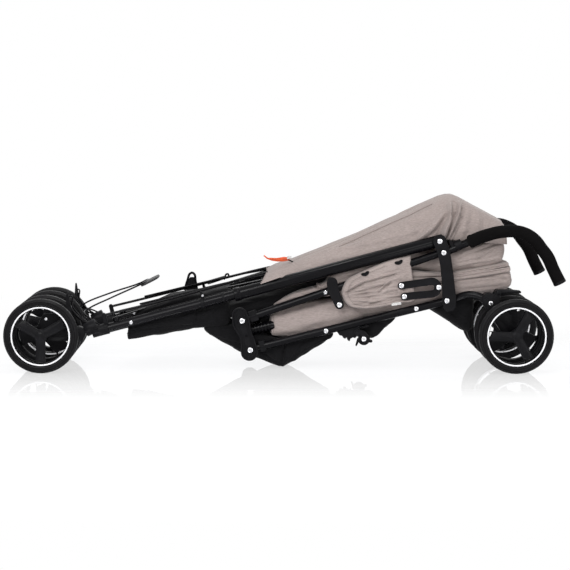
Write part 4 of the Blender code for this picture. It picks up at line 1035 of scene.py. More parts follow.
def make_canopy():
    """Folded canopy: one curved sheet from side to side over the seat back, with its seams and hem."""
    depth = bpy.context.scene.stroller_sizes.fold_depth / MM
    columns, lines = 220, 150
    rows = []
    for i in range(columns + 1):
        x = CANOPY_FROM + (CANOPY_TO - CANOPY_FROM) * i / columns
        rows.append([canopy_point(x, math.pi * j / lines, depth) for j in range(lines + 1)])
    mesh = grid_mesh("canopy_cloth", rows, closed_round=False)
    obj = add_piece("canopy_cloth", mesh, "taupe_canvas", None, 180)
    wall = obj.modifiers.new("cloth", "SOLIDIFY")
    wall.thickness = 0.0011
    wall.offset = -1.0
    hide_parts("canopy")
    for name, side in SIDES.items():
        upper = [canopy_point(x, seam_angle(x, side), depth, 0.5) for x in np.linspace(112, 300, 60)]
        across_frames(add_stitches(f"canopy_seam_stitches_{name}", upper, None))
        tape = seam_tape([canopy_point(x, seam_angle(x, side) - side * 0.02, depth, 0.3)
                          for x in np.linspace(114, 302, 80)])
        across_frames(add_piece(f"canopy_seam_{name}", tape, "taupe_binding", None, 180))
    hem = curve_tube("hem", rows[-1][::5] + [rows[-1][-1]], 0.0013, 3, 2)
    hem_piece = add_piece("canopy_hem", hem, "taupe_binding", None, 60)
    cuff = curve_tube("cuff", rows[0][::5] + [rows[0][-1]], 0.0013, 3, 2)
    cuff_piece = add_piece("canopy_cuff", cuff, "taupe_binding", None, 60)
    for piece in (obj, hem_piece, cuff_piece):
        across_frames(piece)


def seam_tape(line):
    """Thin bead of folded cloth along a seam."""
    return curve_tube("seam", line[::4] + [line[-1]], 0.0012, 4, 2)


def seam_angle(x, side):
    """Angle round the canopy of the seam that runs below its crest."""
    angle = float(np.interp(x, [112, 200, 300], [0.92, 1.02, 1.12]))
    return angle if side < 0 else math.pi - angle


CANOPY_FROM, CANOPY_TO = -48.0, 451.0
CANOPY_SLANT = 13.0


def canopy_point(x, angle, depth, proud=0.0):
    """Point of the canopy at a distance along and an angle round it, from the near edge to the far one."""
    c, s = math.cos(angle), math.sin(angle)
    x += CANOPY_SLANT * abs(s) * max(0.0, 1.0 - (x - CANOPY_FROM) / 70)
    top = canopy_top(x)
    low = leg_line(x * MM) / MM + float(np.interp(x, [-48, -10, 20, 316, 451], [9, 12, 2, 2, -44]))
    half = proud + float(np.interp(x, [-48, -18, 4, 20, 200, 330, 420, 451],
                                   [105, 106.5, 93, 87, 88, 88, 84, 78]))
    z = low + (top - low) * abs(s) ** 0.86 + proud * s
    rise = (z - low) / max(top - low, 1.0)
    lean = 1.0 - 0.16 * rise ** 1.5
    y = -half * lean * math.copysign(abs(c) ** 0.40, c)
    push = 2.4 * noise.noise(Vector((x / 62.0, y / 90.0, z / 44.0)))
    push += 1.2 * noise.noise(Vector((x / 24.0 + 5, y / 40.0, z / 20.0)))
    push -= 1.7 * (1.0 - rumple(x - z * 0.9, y * 0.3, z + x * 0.25, 60.0, 26.0, 8.0)) * float(
        np.interp(x, [-40, 60, 250, 320], [0.2, 0.4, 1.0, 1.0]))
    push -= depth * sum(d * crease(x, z, a, b, w) for a, b, w, d in CANOPY_FOLDS)
    y += math.copysign(push, y) * min(1.0, abs(c) * 1.6)
    ripple = noise.noise(Vector((x / 70.0 + 3, y / 26.0, 2.0))) * 3.0 - 0.6
    ridge = 1.0 - rumple(x, y, 0.0, 160.0, 22.0, 12.0)
    z += min(ripple - 3.0 * ridge, 0.6) * (1.0 - abs(c)) * min(1.0, (x - CANOPY_FROM) / 60)
    return Vector((x, y, z)) * MM


def make_rolls():
    """Seat back and seat cloth, folded into rolls between the tubes."""
    for name, keys, strength, length, width, seed, nose, tail, creases, stands_for in ROLLS:
        def gathered(x, y, z):
            move = -strength * (1.0 - rumple(x, y, z - (x - 300) * 0.06, length, width, seed))
            move += 0.8 * noise.noise(Vector((x, y, z)) / 30.0)
            return move - sum(d * crease(x, z, a, b, w) for a, b, w, d in creases)

        obj = add_bundle(name, keys, "taupe_canvas", 130, 150, nose, tail, 0.34, 0.55, 0.0, None,
                         stands_for)
        if name in PUFFED_ROLLS:
            puffed(obj, 4.0, 2.5 * MM, 4.0 * MM)
        gather(obj.data, gathered)
        across_frames(obj)


PUFFED_ROLLS = ("roll_upper", "roll_lower")
# Name, keys, depth, length, width and seed of the gathers, rounded ends, creases and what it stands for
ROLLS = [
    ("roll_upper", [(120, 190, 226, 76), (230, 204, 242, 80), (300, 198, 240, 82), (338, 197, 246, 84),
                    (387, 202, 258, 85), (430, 211, 268, 85), (449, 217, 271, 81)],
     2.2, 110.0, 30.0, 1, 6, 4,
     [((352, 226), (444, 262), 3.2, 3.4), ((345, 214), (404, 226), 3.0, 2.6),
      ((384, 217), (431, 247), 2.6, 3.0), ((352, 206), (436, 220), 3.0, 1.8)], ["seat_bundle"]),
    ("roll_second", [(90, 168, 196, 76), (200, 178, 206, 82), (300, 186, 199, 85), (342, 188, 200, 87),
                     (400, 196, 209, 87), (440, 204, 217, 87), (457, 208, 218, 84)],
     1.2, 130.0, 16.0, 6, 6, 2.5, [((340, 193.5), (457, 213.5), 1.3, 3.4)], []),
    ("roll_middle", [(40, 140, 168, 66), (120, 150, 180, 80), (230, 164, 190, 84), (300, 172, 190, 86),
                     (346, 177, 194, 88), (407, 187, 204, 88), (460, 196, 212, 86)],
     1.2, 150.0, 12.0, 2, 8, 3, [((336, 186), (458, 205.5), 1.4, 3.6)], []),
    ("roll_lower", [(90, 96, 148, 66), (140, 98, 158, 80), (200, 108, 168, 84), (260, 117, 176, 85),
                    (320, 136, 180, 86), (350, 146, 186, 88), (400, 152, 194, 88), (440, 158, 202, 88),
                    (467, 164, 203, 86)],
     2.6, 150.0, 22.0, 3, 8, 9,
     [((340, 172), (462, 186), 3.0, 2.6), ((350, 160), (440, 168), 3.0, 1.8),
      ((410, 196), (464, 176), 3.0, 1.6)], []),
    ("seat_strip", [(-24, 128, 133, 80), (0, 134, 149, 84), (30, 142, 163, 86), (60, 150, 172, 86),
                    (82, 158, 180, 86), (104, 166, 200, 86), (170, 182, 218, 84), (250, 208, 240, 80)],
     1.6, 60.0, 14.0, 5, 5, 8,
     [((24, 158), (62, 172), 3.0, 3.5), ((56, 178), (74, 160), 2.5, 5.0),
      ((100, 178), (200, 206), 4.0, 3.0)], []),
]


def puffed(obj, pressure=4.0, cap=6.0 * MM, voxel=5.0 * MM):
    """Inflate a padded piece like a cushion: voxel remesh, cloth under pressure, and a cap on swelling."""
    remesh = obj.modifiers.new("voxels", "REMESH")
    remesh.mode = "VOXEL"
    remesh.voxel_size = voxel
    apply_modifiers(obj)
    start = np.array([v.co for v in obj.data.vertices])
    cloth = obj.modifiers.new("cloth", "CLOTH")
    cloth.settings.quality = 6
    cloth.settings.mass = 0.25
    cloth.settings.tension_stiffness = cloth.settings.compression_stiffness = 12
    cloth.settings.bending_stiffness = 0.6
    cloth.settings.use_pressure = True
    cloth.settings.uniform_pressure_force = pressure
    cloth.settings.effector_weights.gravity = 0.0
    cloth.collision_settings.use_collision = False
    scene = bpy.context.scene
    for step in range(1, 21):
        scene.frame_set(step)
    apply_modifiers(obj)
    scene.frame_set(1)
    moved = np.array([v.co for v in obj.data.vertices])
    step = moved - start
    reach = np.linalg.norm(step, axis=1, keepdims=True)
    moved = start + step * np.minimum(1.0, cap / np.maximum(reach, 1e-9))
    for vertex, place in zip(obj.data.vertices, moved):
        vertex.co = place
    finer = obj.modifiers.new("finer", "SUBSURF")
    finer.levels = finer.render_levels = 1
    apply_modifiers(obj)
    obj.data.shade_smooth()


def apply_modifiers(obj):
    """Turn a piece with its modifiers into a plain mesh."""
    mesh = bpy.data.meshes.new_from_object(obj.evaluated_get(bpy.context.evaluated_depsgraph_get()))
    obj.modifiers.clear()
    old = obj.data
    obj.data = mesh
    bpy.data.meshes.remove(old)


def make_seat_pad():
    """Smooth seat pad below the push tubes, squared at its left end."""
    keys = [(-31, 70, 112, 82), (-26, 66, 114, 84), (30, 69, 127, 85), (90, 80, 137, 85), (125, 90, 138, 84),
            (160, 104, 132, 80), (178, 111, 126, 70)]
    obj = add_bundle("seat_pad", keys, "taupe_canvas", 80, 96, 4, 14, 0.24, 0.34, 0.0, None, ())
    puffed(obj, 4.0, 3.5 * MM)
    creases = [((20, 76), (150, 108), 5.0, 1.6), ((-20, 70), (60, 74), 4.0, 1.2),
               ((60, 126), (130, 132), 4.0, 1.4)]

    def soft(x, y, z):
        move = 1.2 * noise.noise(Vector((x / 60.0, y / 50.0, z / 26.0 + 9)))
        return move - sum(d * crease(x, z, a, b, w) for a, b, w, d in creases)

    gather(obj.data, soft)
    across_frames(obj)
    for name, side in SIDES.items():
        line = []
        for z in np.linspace(74, 110, 16):
            hit = obj.ray_cast(Vector((-22.0, side * 140, z)) * MM, Vector((0, -side, 0)))
            if hit[0]:
                line.append(hit[1] + Vector((0, side * 0.0002, 0)))
        across_frames(add_stitches(f"seat_pad_stitches_{name}", line, None))


POCKET = [(255, 232), (250, 232), (214, 224), (180, 211), (148, 197), (128, 186), (118, 172), (115, 159),
          (118, 146), (126, 134), (138, 127.5), (163, 125.5), (200, 130), (236, 137), (262, 142),
          (262, 170), (257, 205)]


def make_pockets():
    """Gathered cloth that wraps round the push tube behind the stay, on each side."""
    work_outline = smooth_stations(POCKET + POCKET[:1], 6)[:-1]
    centre = Vector((190.0, 165.0))
    for name, side in SIDES.items():
        rows = []
        for inset in (0.0, 0.008, 0.02, 0.04, 0.07, *np.linspace(0.10, 0.97, 40)):
            row = []
            for x, z in work_outline:
                px, pz = x + (centre.x - x) * inset, z + (centre.y - z) * inset
                edge = math.sqrt(1.0 - (1.0 - min(1.0, inset / 0.09)) ** 2)
                reach = float(np.interp(px, [116, 196, 214, 262], [109.5, 108.0, 102.9, 102.7]))
                thick = 96.0 + (reach - 96.0) * edge
                inside = min(1.0, inset / 0.16)
                gather = float(np.interp(pz - (px - 116) * 0.38, [120, 146, 160, 170], [1.0, 1.0, 0.6, 0.04]))
                folds = 4.6 * (1.0 - rumple(px, 0.0, pz - (px - 116) * 0.14, 60.0, 7.0, 4.0)) * gather
                folds += sum(d * crease(px, pz, a, b, w) for a, b, w, d in POCKET_FOLDS)
                row.append(Vector((px, side * (thick - folds * inside), pz)) * MM)
            rows.append(row)
        back = [Vector((p.x, side * 0.0955, p.z)) for p in rows[0]]
        mesh = grid_mesh("pocket", [back] + rows)
        obj = add_piece(f"seat_pocket_{name}", mesh, "taupe_canvas", f"frame_{name}", 180)
        edge_line = [Vector((p.x, p.y + side * 0.0009, p.z)) for p in rows[8]]
        bounds = [p for p in edge_line if p.x < 0.205]
        start = max(range(len(bounds)), key=lambda i: (bounds[i] - bounds[i - 1]).length)
        add_stitches(f"pocket_stitches_{name}", bounds[start:] + bounds[:start], f"frame_{name}")
        for number, (x, z) in enumerate(((163.0, 196.0), (231.0, 218.5))):
            add_eyelet(f"pocket_eyelet_{name}_{number}", x, z, side, f"frame_{name}",
                       float(np.interp(x, [196, 214], [109.6, 103.6])))


POCKET_FOLDS = [
    ((112, 152), (163, 180), 2.2, 7.5), ((156, 177), (226, 196), 2.0, 6.5),
    ((216, 192), (262, 207), 2.0, 3.5), ((128, 152), (196, 160), 2.0, 5.0),
    ((188, 158), (216, 180), 2.0, 6.0), ((134, 147), (206, 152), 1.9, 4.6),
    ((134, 141), (190, 136), 1.9, 4.4), ((150, 133), (236, 146), 2.0, 4.6),
    ((176, 166), (236, 184), 2.0, 4.6), ((205, 160), (262, 168), 2.0, 2.8),
    ((205, 146), (262, 154), 2.0, 2.8), ((146, 158), (186, 170), 1.9, 3.6),
]


def add_eyelet(name, x, z, side, body, face):
    """Dark slot with a bow-shaped rim in the pocket's upper band."""
    outline = []
    for step in range(32):
        turn = math.tau * step / 32
        reach = 1.0 + 0.30 * math.cos(2 * turn)
        across, up = 6.6 * reach * math.cos(turn), 5.2 * reach * math.sin(turn) + 2.4 * math.cos(turn) ** 2
        outline.append(((x + across * 0.93 - up * 0.36) * MM, (z + across * 0.36 + up * 0.93) * MM))
    add_slab(name, outline, side, (face - 2.4) * MM, 0.0032, "gloss_black", body, 0.0004, 0.0005, 0.0014)


def make_black_cloth():
    """Collapsed basket, calf cloth, panels and the dark lining that shows between the tubes."""
    for name, keys, sizes, creases, stands_for, height in BLACK_CLOTH:
        def sag(x, y, z):
            move = 1.6 * noise.noise(Vector((x / 34.0, y / 40.0, z / 22.0)))
            move -= 2.2 * (1.0 - rumple(x, y, z, 70.0, 22.0, height * 40))
            return move - sum(d * crease(x, z, a, b, w) for a, b, w, d in creases)

        steps, around, nose, tail = sizes
        piece = add_bundle(name, keys, "black_canvas", steps, around, nose, tail, 0.30, 0.62, 0.0, sag,
                           stands_for)
        across_frames(piece)


# Name, keys, (steps, points round, rounded ends), creases, what it stands for and a number that seeds its
# folds
BLACK_CLOTH = [
    ("basket_cloth", [(-165, 74, 92, 70), (-141, 60, 94, 80), (-91, 33, 90, 82), (-50, 18, 76, 84),
                      (-20, 5.0, 66, 84), (-7, 0.5, 64, 84), (6, 5.5, 64, 84), (31, 20, 66, 84),
                      (70, 44, 72, 80), (100, 62, 78, 70)],
     (110, 100, 6, 8),
     [((2, 62), (-8, 2), 3.0, 6.0), ((-150, 66), (-30, 34), 4.0, 3.5), ((18, 24), (90, 66), 5.0, 3.0),
      ((-70, 54), (-12, 8), 4.0, 4.0), ((36, 58), (12, 16), 4.0, 3.5)], ["basket"], 0.05),
    ("calf_cloth", [(-321, 57, 88, 78), (-305, 60, 100, 84), (-250, 68, 118, 88), (-200, 78, 130, 88),
                    (-176, 84, 136, 84)],
     (60, 100, 3, 8),
     [((-318, 78), (-200, 92), 3.0, 4.0), ((-260, 76), (-180, 92), 3.0, 3.0),
      ((-240, 100), (-160, 128), 4.0, 3.5)], ["foot_cloth"], 0.06),
    ("leg_lining", [(-305, 98, 119, 68), (-270, 104, 131, 72), (-232, 112, 146, 74), (-200, 120, 152, 74),
                    (-160, 128, 158, 72), (-110, 140, 168, 64)], (60, 80, 6, 10),
     [((-290, 112), (-200, 136), 4.0, 3.0)], [], 0.11),
    ("calf_roll", [(-235, 84, 108, 76), (-200, 82, 118, 82), (-150, 80, 132, 84), (-110, 84, 140, 80)],
     (50, 90, 8, 8), [((-210, 92), (-150, 110), 3.5, 4.0), ((-180, 88), (-130, 128), 3.5, 3.5)], [], 0.07),
    ("seat_lining", [(-130, 100, 126, 70), (-60, 104, 146, 78), (-30, 112, 152, 70), (20, 128, 166, 62),
                     (120, 156, 194, 60), (200, 176, 216, 60)], (70, 90, 8, 8),
     [((-110, 120), (-20, 150), 4.0, 4.0), ((-80, 112), (0, 132), 4.0, 3.0)], [], 0.12),
    ("under_seat_lining", [(-50, 58, 112, 60), (-10, 64, 116, 66), (60, 84, 124, 66), (150, 104, 136, 66),
                           (300, 136, 176, 66), (392, 150, 176, 66)], (60, 60, 6, 8), [], [], 0.13),
    ("basket_middle", [(150, 80, 104, 76), (178, 60, 108, 84), (204, 78, 112, 84), (229, 104, 120, 80),
                       (242, 112, 124, 72)], (40, 90, 5, 6),
     [((170, 98), (215, 90), 4.0, 3.0)], [], 0.08),
    ("basket_end", [(284, 128, 142, 78), (310, 112, 146, 86), (331, 97, 150, 90), (352, 84, 154, 90),
                    (374, 73, 152, 86), (388, 84, 150, 78)], (50, 100, 5, 5),
     [((300, 136), (370, 96), 4.0, 3.5), ((330, 110), (384, 130), 5.0, 3.0)], [], 0.09),
]


# Small trim
def add_wire(name, points, radius, look, body=None, roundness=3):
    """Wire or thin rod through points in mm."""
    mesh = curve_tube(name, [Vector(p) * MM for p in points], radius * MM, 8, roundness)
    return add_piece(name, mesh, look, body, 60)


def band_on_tube(name, point, angle, y, radius, length, look, body, wall=1.5):
    """Moulded band round a tube, centred on a point of its axis."""
    axis = (math.cos(angle), 0.0, math.sin(angle))
    start = along(point, angle, -length * MM / 2)
    inner, outer = radius, radius + wall * MM
    run = length * MM
    profile = [(0, inner), (0, outer - 0.0006), (0.0007, outer), (run - 0.0007, outer), (run, outer - 0.0006),
               (run, inner)]
    return add_piece(name, turned(name, (start[0], y, start[1]), axis, profile, 36, closed=True), look,
                     body, 40)


def make_footrest():
    """Folded footrest: two wire bails, their paddle and the hooks beside the front wheels."""
    loop = [(-372, -94, 91), (-392, -92, 104), (-407, -78, 115), (-402, -58, 121), (-356, -50, 143),
            (-300, -44, 168), (-286, -30, 174), (-282, 0, 176), (-286, 30, 174), (-302, 44, 165.5),
            (-364, 50, 144.5), (-418, 58, 122), (-424, 78, 114), (-402, 92, 104), (-376, 94, 91)]
    across_frames(add_wire("footrest_wire", loop, 1.7, "frame_paint", None, 4))
    outline = []
    for step in range(24):
        turn = math.tau * step / 24
        outline.append((math.copysign(abs(math.cos(turn)) ** 0.5, math.cos(turn)),
                        math.copysign(abs(math.sin(turn)) ** 0.5, math.sin(turn))))
    tilt = math.radians(27)
    rows = []
    for lift, grow in ((-2.4, 0.90), (-2.0, 0.97), (0.0, 1.0), (2.0, 0.97), (2.6, 0.88), (2.9, 0.6),
                       (2.9, 0.1)):
        row = []
        for u, v in outline:
            reach, y = u * 21.0 * grow, v * 38.0 * grow
            row.append(Vector((-277 + reach * math.cos(tilt) - lift * math.sin(tilt), y,
                               175 + reach * math.sin(tilt) + lift * math.cos(tilt))) * MM)
        rows.append(row)
    across_frames(add_piece("footrest_paddle", grid_mesh("paddle", rows), "paddle_grey", None, 40))
    for name, side in SIDES.items():
        body = f"frame_{name}"
        hook = [(-392, side * 90, 92), (-412, side * 95, 104), (-428, side * 96, 120), (-436, side * 97, 134)]
        add_wire(f"footrest_hook_{name}", hook, 1.9, "frame_paint", body)
        spike = strap_outline([(-0.4350, 0.122, 0.0046), (-0.4385, 0.142, 0.0040), (-0.4395, 0.1605, 0.0016)])
        add_slab(f"footrest_spike_{name}", spike, side, 0.0950, 0.0036, "plate_plastic", body, 0.0009)
        inner = [(-396, side * 88, 94), (-418, side * 80, 112), (-431, side * 79, 130),
                 (-434, side * 79, 150), (-436, side * 79, 130), (-422, side * 82, 108),
                 (-398, side * 86, 94)]
        add_wire(f"footrest_loop_{name}", inner, 1.6, "frame_paint", body)


def make_leg_fittings():
    """Bands, brackets and rods along the front legs."""
    for name, side in SIDES.items():
        body, y = f"frame_{name}", side * HALF_SPACING
        for number, (back, length) in enumerate(((0.495, 7), (0.452, 5))):
            band_on_tube(f"leg_band_{name}_{number}", along(RIVET_A, LEG_ANGLE, -back), LEG_ANGLE, y,
                         LEG_RADIUS - 0.0001, length, "plate_plastic", body, 1.7)
        for number, (x, z, wide, tall) in enumerate(((-361, 93, 9, 20), (-166, 144, 6, 14))):
            outline = strap_outline([(x * MM, z * MM, wide / 2 * MM),
                                     ((x - 0.25 * tall) * MM, (z + tall) * MM, wide / 2 * 0.9 * MM)])
            add_slab(f"leg_bracket_{name}_{number}", outline, side, 0.0900, 0.0080, "plate_plastic", body,
                     0.001)
        end = [(-8, side * 56, 202)] if side > 0 else []
        rod = [(-362, side * 91, 113), (-300, side * 90, 128), (-211, side * 86, 150.5),
               (-141, side * 80, 169), (-90, side * 72, 182.5), (-34, side * 62, 196.5)]
        add_wire(f"long_rod_{name}", rod + end, 2.6, "frame_paint", body, 4)
        rod = [(-294, side * 84, 134), (-240, side * 82, 147), (-166, side * 78, 165), (-100, side * 74, 180),
               (-39, side * 70, 191.5)]
        add_wire(f"side_rod_{name}", rod, 1.9, "frame_paint", body, 4)
        rod = [(x, side * 77, leg_line(x * MM) / MM + 9.4) for x in (-273, -200, -120, -48)]
        add_wire(f"inner_rod_{name}", rod, 1.6, "frame_paint", body, 3)
        add_screws(f"bracket_screw_{name}", [(-0.1660, 0.0982, 0.152)], side, body, 0.0024)
        add_screws(f"leg_inner_screw_{name}", [(-0.3160, -0.0838, 0.0990)], -side, body, 0.0030)
    strap_hook()


def strap_hook():
    """Hook, lock link and catch of the fold strap, on the far leg."""
    side, body = SIDES["far"], "frame_far"
    spike = [(-209, 88, 147), (-203, 86, 168), (-195, 85, 184), (-189, 85, 182), (-186, 86, 168),
             (-183, 88, 149)]
    add_wire("strap_hook", spike, 2.6, "plate_plastic", body, 4)
    plate = [(-209, 147), (-204.5, 165), (-197, 175), (-188, 175), (-184.5, 165), (-183, 149)]
    add_slab("strap_hook_plate", in_metres(plate), side, 0.0850, 0.0026, "plate_plastic", body, 0.0006)
    add_wire("strap_hook_bar", [(-205, 87, 160), (-184, 87, 162)], 2.2, "plate_plastic", body)
    link = strap_outline([(-0.158, 0.164, 0.0042), (-0.126, 0.174, 0.0036)])
    add_slab("lock_link", link, side, 0.0800, 0.0050, "paddle_grey", body, 0.0008, 0.0006, 0.0012)
    catch = [(-126, 82, 170), (-118, 82, 182), (-114, 82, 176), (-106, 81, 178)]
    add_wire("lock_catch", catch, 2.0, "plate_plastic", body)


def make_clips():
    """Clips, plugs, rubber boot, lower bracket, canopy clip, pull tab and plain tag."""
    for name, side in SIDES.items():
        frame_body, rear_body = f"frame_{name}", f"rear_leg_{name}"
        plugs = (("push", RIVET_D, PUSH_ANGLE, 0.0150, 0.0180, frame_body),
                 ("rear", RIVET_E, REAR_ANGLE, 0.0185, 0.0130, rear_body))
        for label, rivet, angle, back, length, plug_body in plugs:
            corners = []
            for step, rise in ((0, -0.0105), (1, -0.0105), (1, 0.0120), (0, 0.0120)):
                foot = along(rivet, angle, back + step * length)
                corners.append((foot[0] - math.sin(angle) * rise, foot[1] + math.cos(angle) * rise))
            add_slab(f"{label}_plug_{name}", corners, side, 0.0870, 0.0146, "plate_plastic", plug_body,
                     0.0016)
        start = (-0.070, side * 0.0765, 0.0790)
        boot = [(0, 0), (0, 0.0092)]
        for ring in range(6):
            boot += [(0.003 + ring * 0.0068, 0.0116), (0.0064 + ring * 0.0068, 0.0116),
                     (0.0072 + ring * 0.0068, 0.0092), (0.0090 + ring * 0.0068, 0.0092)]
        boot += [(0.044, 0.0096), (0.050, 0.0096), (0.050, 0)]
        boot = turned("boot", start, (0.973, 0, 0.231), boot, 40)
        add_piece(f"seat_tube_end_{name}", boot, "gloss_black", frame_body, 35)
        clip = along(RIVET_B, math.radians(26), 0.034)
        band_on_tube(f"canopy_clip_{name}", clip, math.radians(26), side * 0.0975, TUBE_RADIUS - 0.0001, 15,
                     "plate_plastic", frame_body, 2.6)
        outline = strap_outline([(clip[0] - 0.010, clip[1] - 0.004, 0.005),
                                 (clip[0] - 0.016, clip[1] + 0.006, 0.0035)])
        add_slab(f"canopy_clip_tail_{name}", outline, side, 0.0940, 0.0080, "plate_plastic", frame_body,
                 0.001)
        bracket = [(147, 76, 6), (156, 72, 9), (160.8, 63, 12.5)]
        outline = strap_outline(in_metres(smooth_stations(bracket)))
        add_slab(f"lower_bracket_{name}", outline, side, 0.0880, 0.0090, "plate_plastic", rear_body, 0.0014,
                 0.0009, 0.003)
        for label, stations in (("nib", [(0.150, 0.062, 0.003), (0.1455, 0.050, 0.0016)]),
                                ("ear", [(0.168, 0.060, 0.004), (0.1755, 0.0585, 0.003)])):
            add_slab(f"lower_bracket_{label}_{name}", strap_outline(stations), side, 0.0890, 0.0060,
                     "plate_plastic", rear_body, 0.0006)
        add_screws(f"lower_bracket_screw_{name}", [(0.1608, 0.0965, 0.0630)], side, rear_body, 0.0050)
        rack = [(104, 80), (112, 70), (117, 69), (119, 65), (123, 63), (126, 66), (128, 60), (132, 58),
                (134, 63), (139, 66), (143, 64), (149, 70), (152, 92), (130, 87), (106, 82)]
        add_slab(f"lower_rack_{name}", in_metres(rack), side, 0.0860, 0.0060, "plate_plastic", rear_body,
                 0.0006)
        tag = [(216, 131), (236, 134), (235, 139), (217, 137)]
        add_slab(f"plain_tag_{name}", in_metres(tag), side, 0.1022, 0.0008, "white_tape", frame_body, 0.0002)
        boss = strap_outline([(0.4137, 0.1392, 0.0085), (0.4045, 0.1420, 0.0060)])
        add_slab(f"housing_boss_{name}", boss, side, 0.1320, 0.0030, "rim_plastic", rear_body, 0.0008)
        add_screws(f"housing_screw_{name}", [(0.4137, 0.1345, 0.1392)], side, rear_body, 0.0044)
        add_screws(f"fork_screw_{name}", [(-0.4815, 0.1075, 0.1060)], side, f"caster_{name}", 0.0030)
        head = strap_outline([(-0.4892, 0.075, 0.0165), (-0.4760, 0.100, 0.0200), (-0.4560, 0.100, 0.0185)])
        add_slab(f"fork_cover_{name}", head, side, 0.0800, 0.0270, "rim_plastic", f"caster_{name}", 0.0020)
    make_pull_tab()


# Pieces of the pull tab: outline in mm, distance from the middle, thickness, look and rounded edge
PULL_TAB = {
    "pull_tab": ([(-41.6, 232), (-34, 226.4), (-25, 224.6), (-13, 226), (-1, 228), (9.4, 227), (11.4, 221),
                  (-1, 218.6), (-13, 218.2), (-25, 219.8), (-35.5, 223.6), (-42.6, 229.6)],
                 0.0590, 0.0016, "orange_tape", 0.0006),
    "pull_tab_fold": ([(-30, 223.6), (-14, 221.4), (2, 222), (10, 224.4), (10, 227.4), (0, 226.4),
                       (-14, 225.6), (-30, 226.4)], 0.0605, 0.0016, "orange_tape", 0.0006),
    "pull_tab_end": ([(5, 223), (13.5, 224.5), (14.5, 230.0), (6, 229)], 0.0580, 0.0060, "white_tape",
                     0.0008),
}


def make_pull_tab():
    """Orange tab with its fold, its white end and its cord."""
    for name, (outline, inside, thickness, look, edge) in PULL_TAB.items():
        add_slab(name, in_metres(outline), SIDES["near"], inside, thickness, look, "frame_near", edge)
    add_wire("pull_tab_cord", [(8, -60, 222), (14, -56, 219), (22, -48, 214)], 1.5, "frame_paint",
             "frame_near")


# Stage
def make_stage():
    scene = bpy.context.scene
    scene.view_settings.view_transform = "Standard"
    set_camera(scene)
    light_studio(scene)
    make_floor(scene)


CAMERA_PLACE = (-0.05809, -3.9966, 0.5055)
CAMERA_YAW, CAMERA_PITCH = math.radians(0.8636), math.radians(4.8666)
CAMERA_LENS, SENSOR_WIDTH = 122.17, 36.0


def set_camera(scene):
    """Camera where the photograph was taken from."""
    camera = bpy.data.cameras.new("photo_camera")
    camera.sensor_width = SENSOR_WIDTH
    camera.lens = CAMERA_LENS
    camera.clip_end = 60.0
    holder = bpy.data.objects.new("photo_camera", camera)
    yaw, pitch = CAMERA_YAW, CAMERA_PITCH
    forward = Vector((math.sin(yaw) * math.cos(pitch), math.cos(yaw) * math.cos(pitch), -math.sin(pitch)))
    holder.rotation_euler = forward.to_track_quat("-Z", "Y").to_euler()
    holder.location = CAMERA_PLACE
    scene.collection.objects.link(holder)
    scene.camera = holder


WHITE = (1.0, 1.0, 1.0, 1.0)
SOFT_LIGHT = 0.46
# Lamps, as (name, place, target, size, power)
LAMPS = [
    ("key", (-0.9, -2.6, 1.8), (0.0, 0.0, 0.1), 1.3, 54.0),
    ("fill", (1.9, -2.3, 0.9), (0.2, 0.0, 0.15), 1.4, 22.0),
    ("back", (0.4, 1.8, 2.2), (0.0, 0.0, 0.1), 1.8, 24.0),
    ("strip", (0.1, -0.8, 2.4), (0.0, 0.0, 0.1), 0.35, 10.0),
]


def light_studio(scene):
    """Soft lamps, and a sky that is white where it is seen and dimmer where it only lights."""
    world = bpy.data.worlds.new("studio")
    world.use_nodes = True
    tree = world.node_tree
    back = tree.nodes["Background"]
    back.inputs["Color"].default_value = WHITE
    back.inputs["Strength"].default_value = SOFT_LIGHT
    white = add_node(tree, "ShaderNodeBackground", Color=WHITE, Strength=1.0)
    rays = tree.nodes.new("ShaderNodeLightPath")
    seen = math_node(tree, "MAXIMUM", rays.outputs["Is Camera Ray"], rays.outputs["Is Glossy Ray"])
    seen = math_node(tree, "MAXIMUM", seen, rays.outputs["Is Transmission Ray"])
    tree.links.new(mixed_shader(tree, seen, back, white).outputs[0],
                   tree.nodes["World Output"].inputs["Surface"])
    scene.world = world
    for name, place, target, size, power in LAMPS:
        light = bpy.data.lights.new(name, "AREA")
        light.shape = "SQUARE"
        light.size = size
        light.energy = power
        lamp = bpy.data.objects.new(name, light)
        lamp.location = place
        lamp.rotation_euler = (Vector(target) - Vector(place)).to_track_quat("-Z", "Y").to_euler()
        scene.collection.objects.link(lamp)


def mixed_shader(tree, share, first, second):
    """Mix of two shader nodes."""
    mix = add_node(tree, "ShaderNodeMixShader", Fac=share)
    tree.links.new(first.outputs[0], mix.inputs[1])
    tree.links.new(second.outputs[0], mix.inputs[2])
    return mix


# Floor: half its width, and how much it mirrors, lets the camera see through and glows
FLOOR_HALF = 6.0
POLISH = 0.68
CLEARNESS = 0.62
LIFT = 0.03


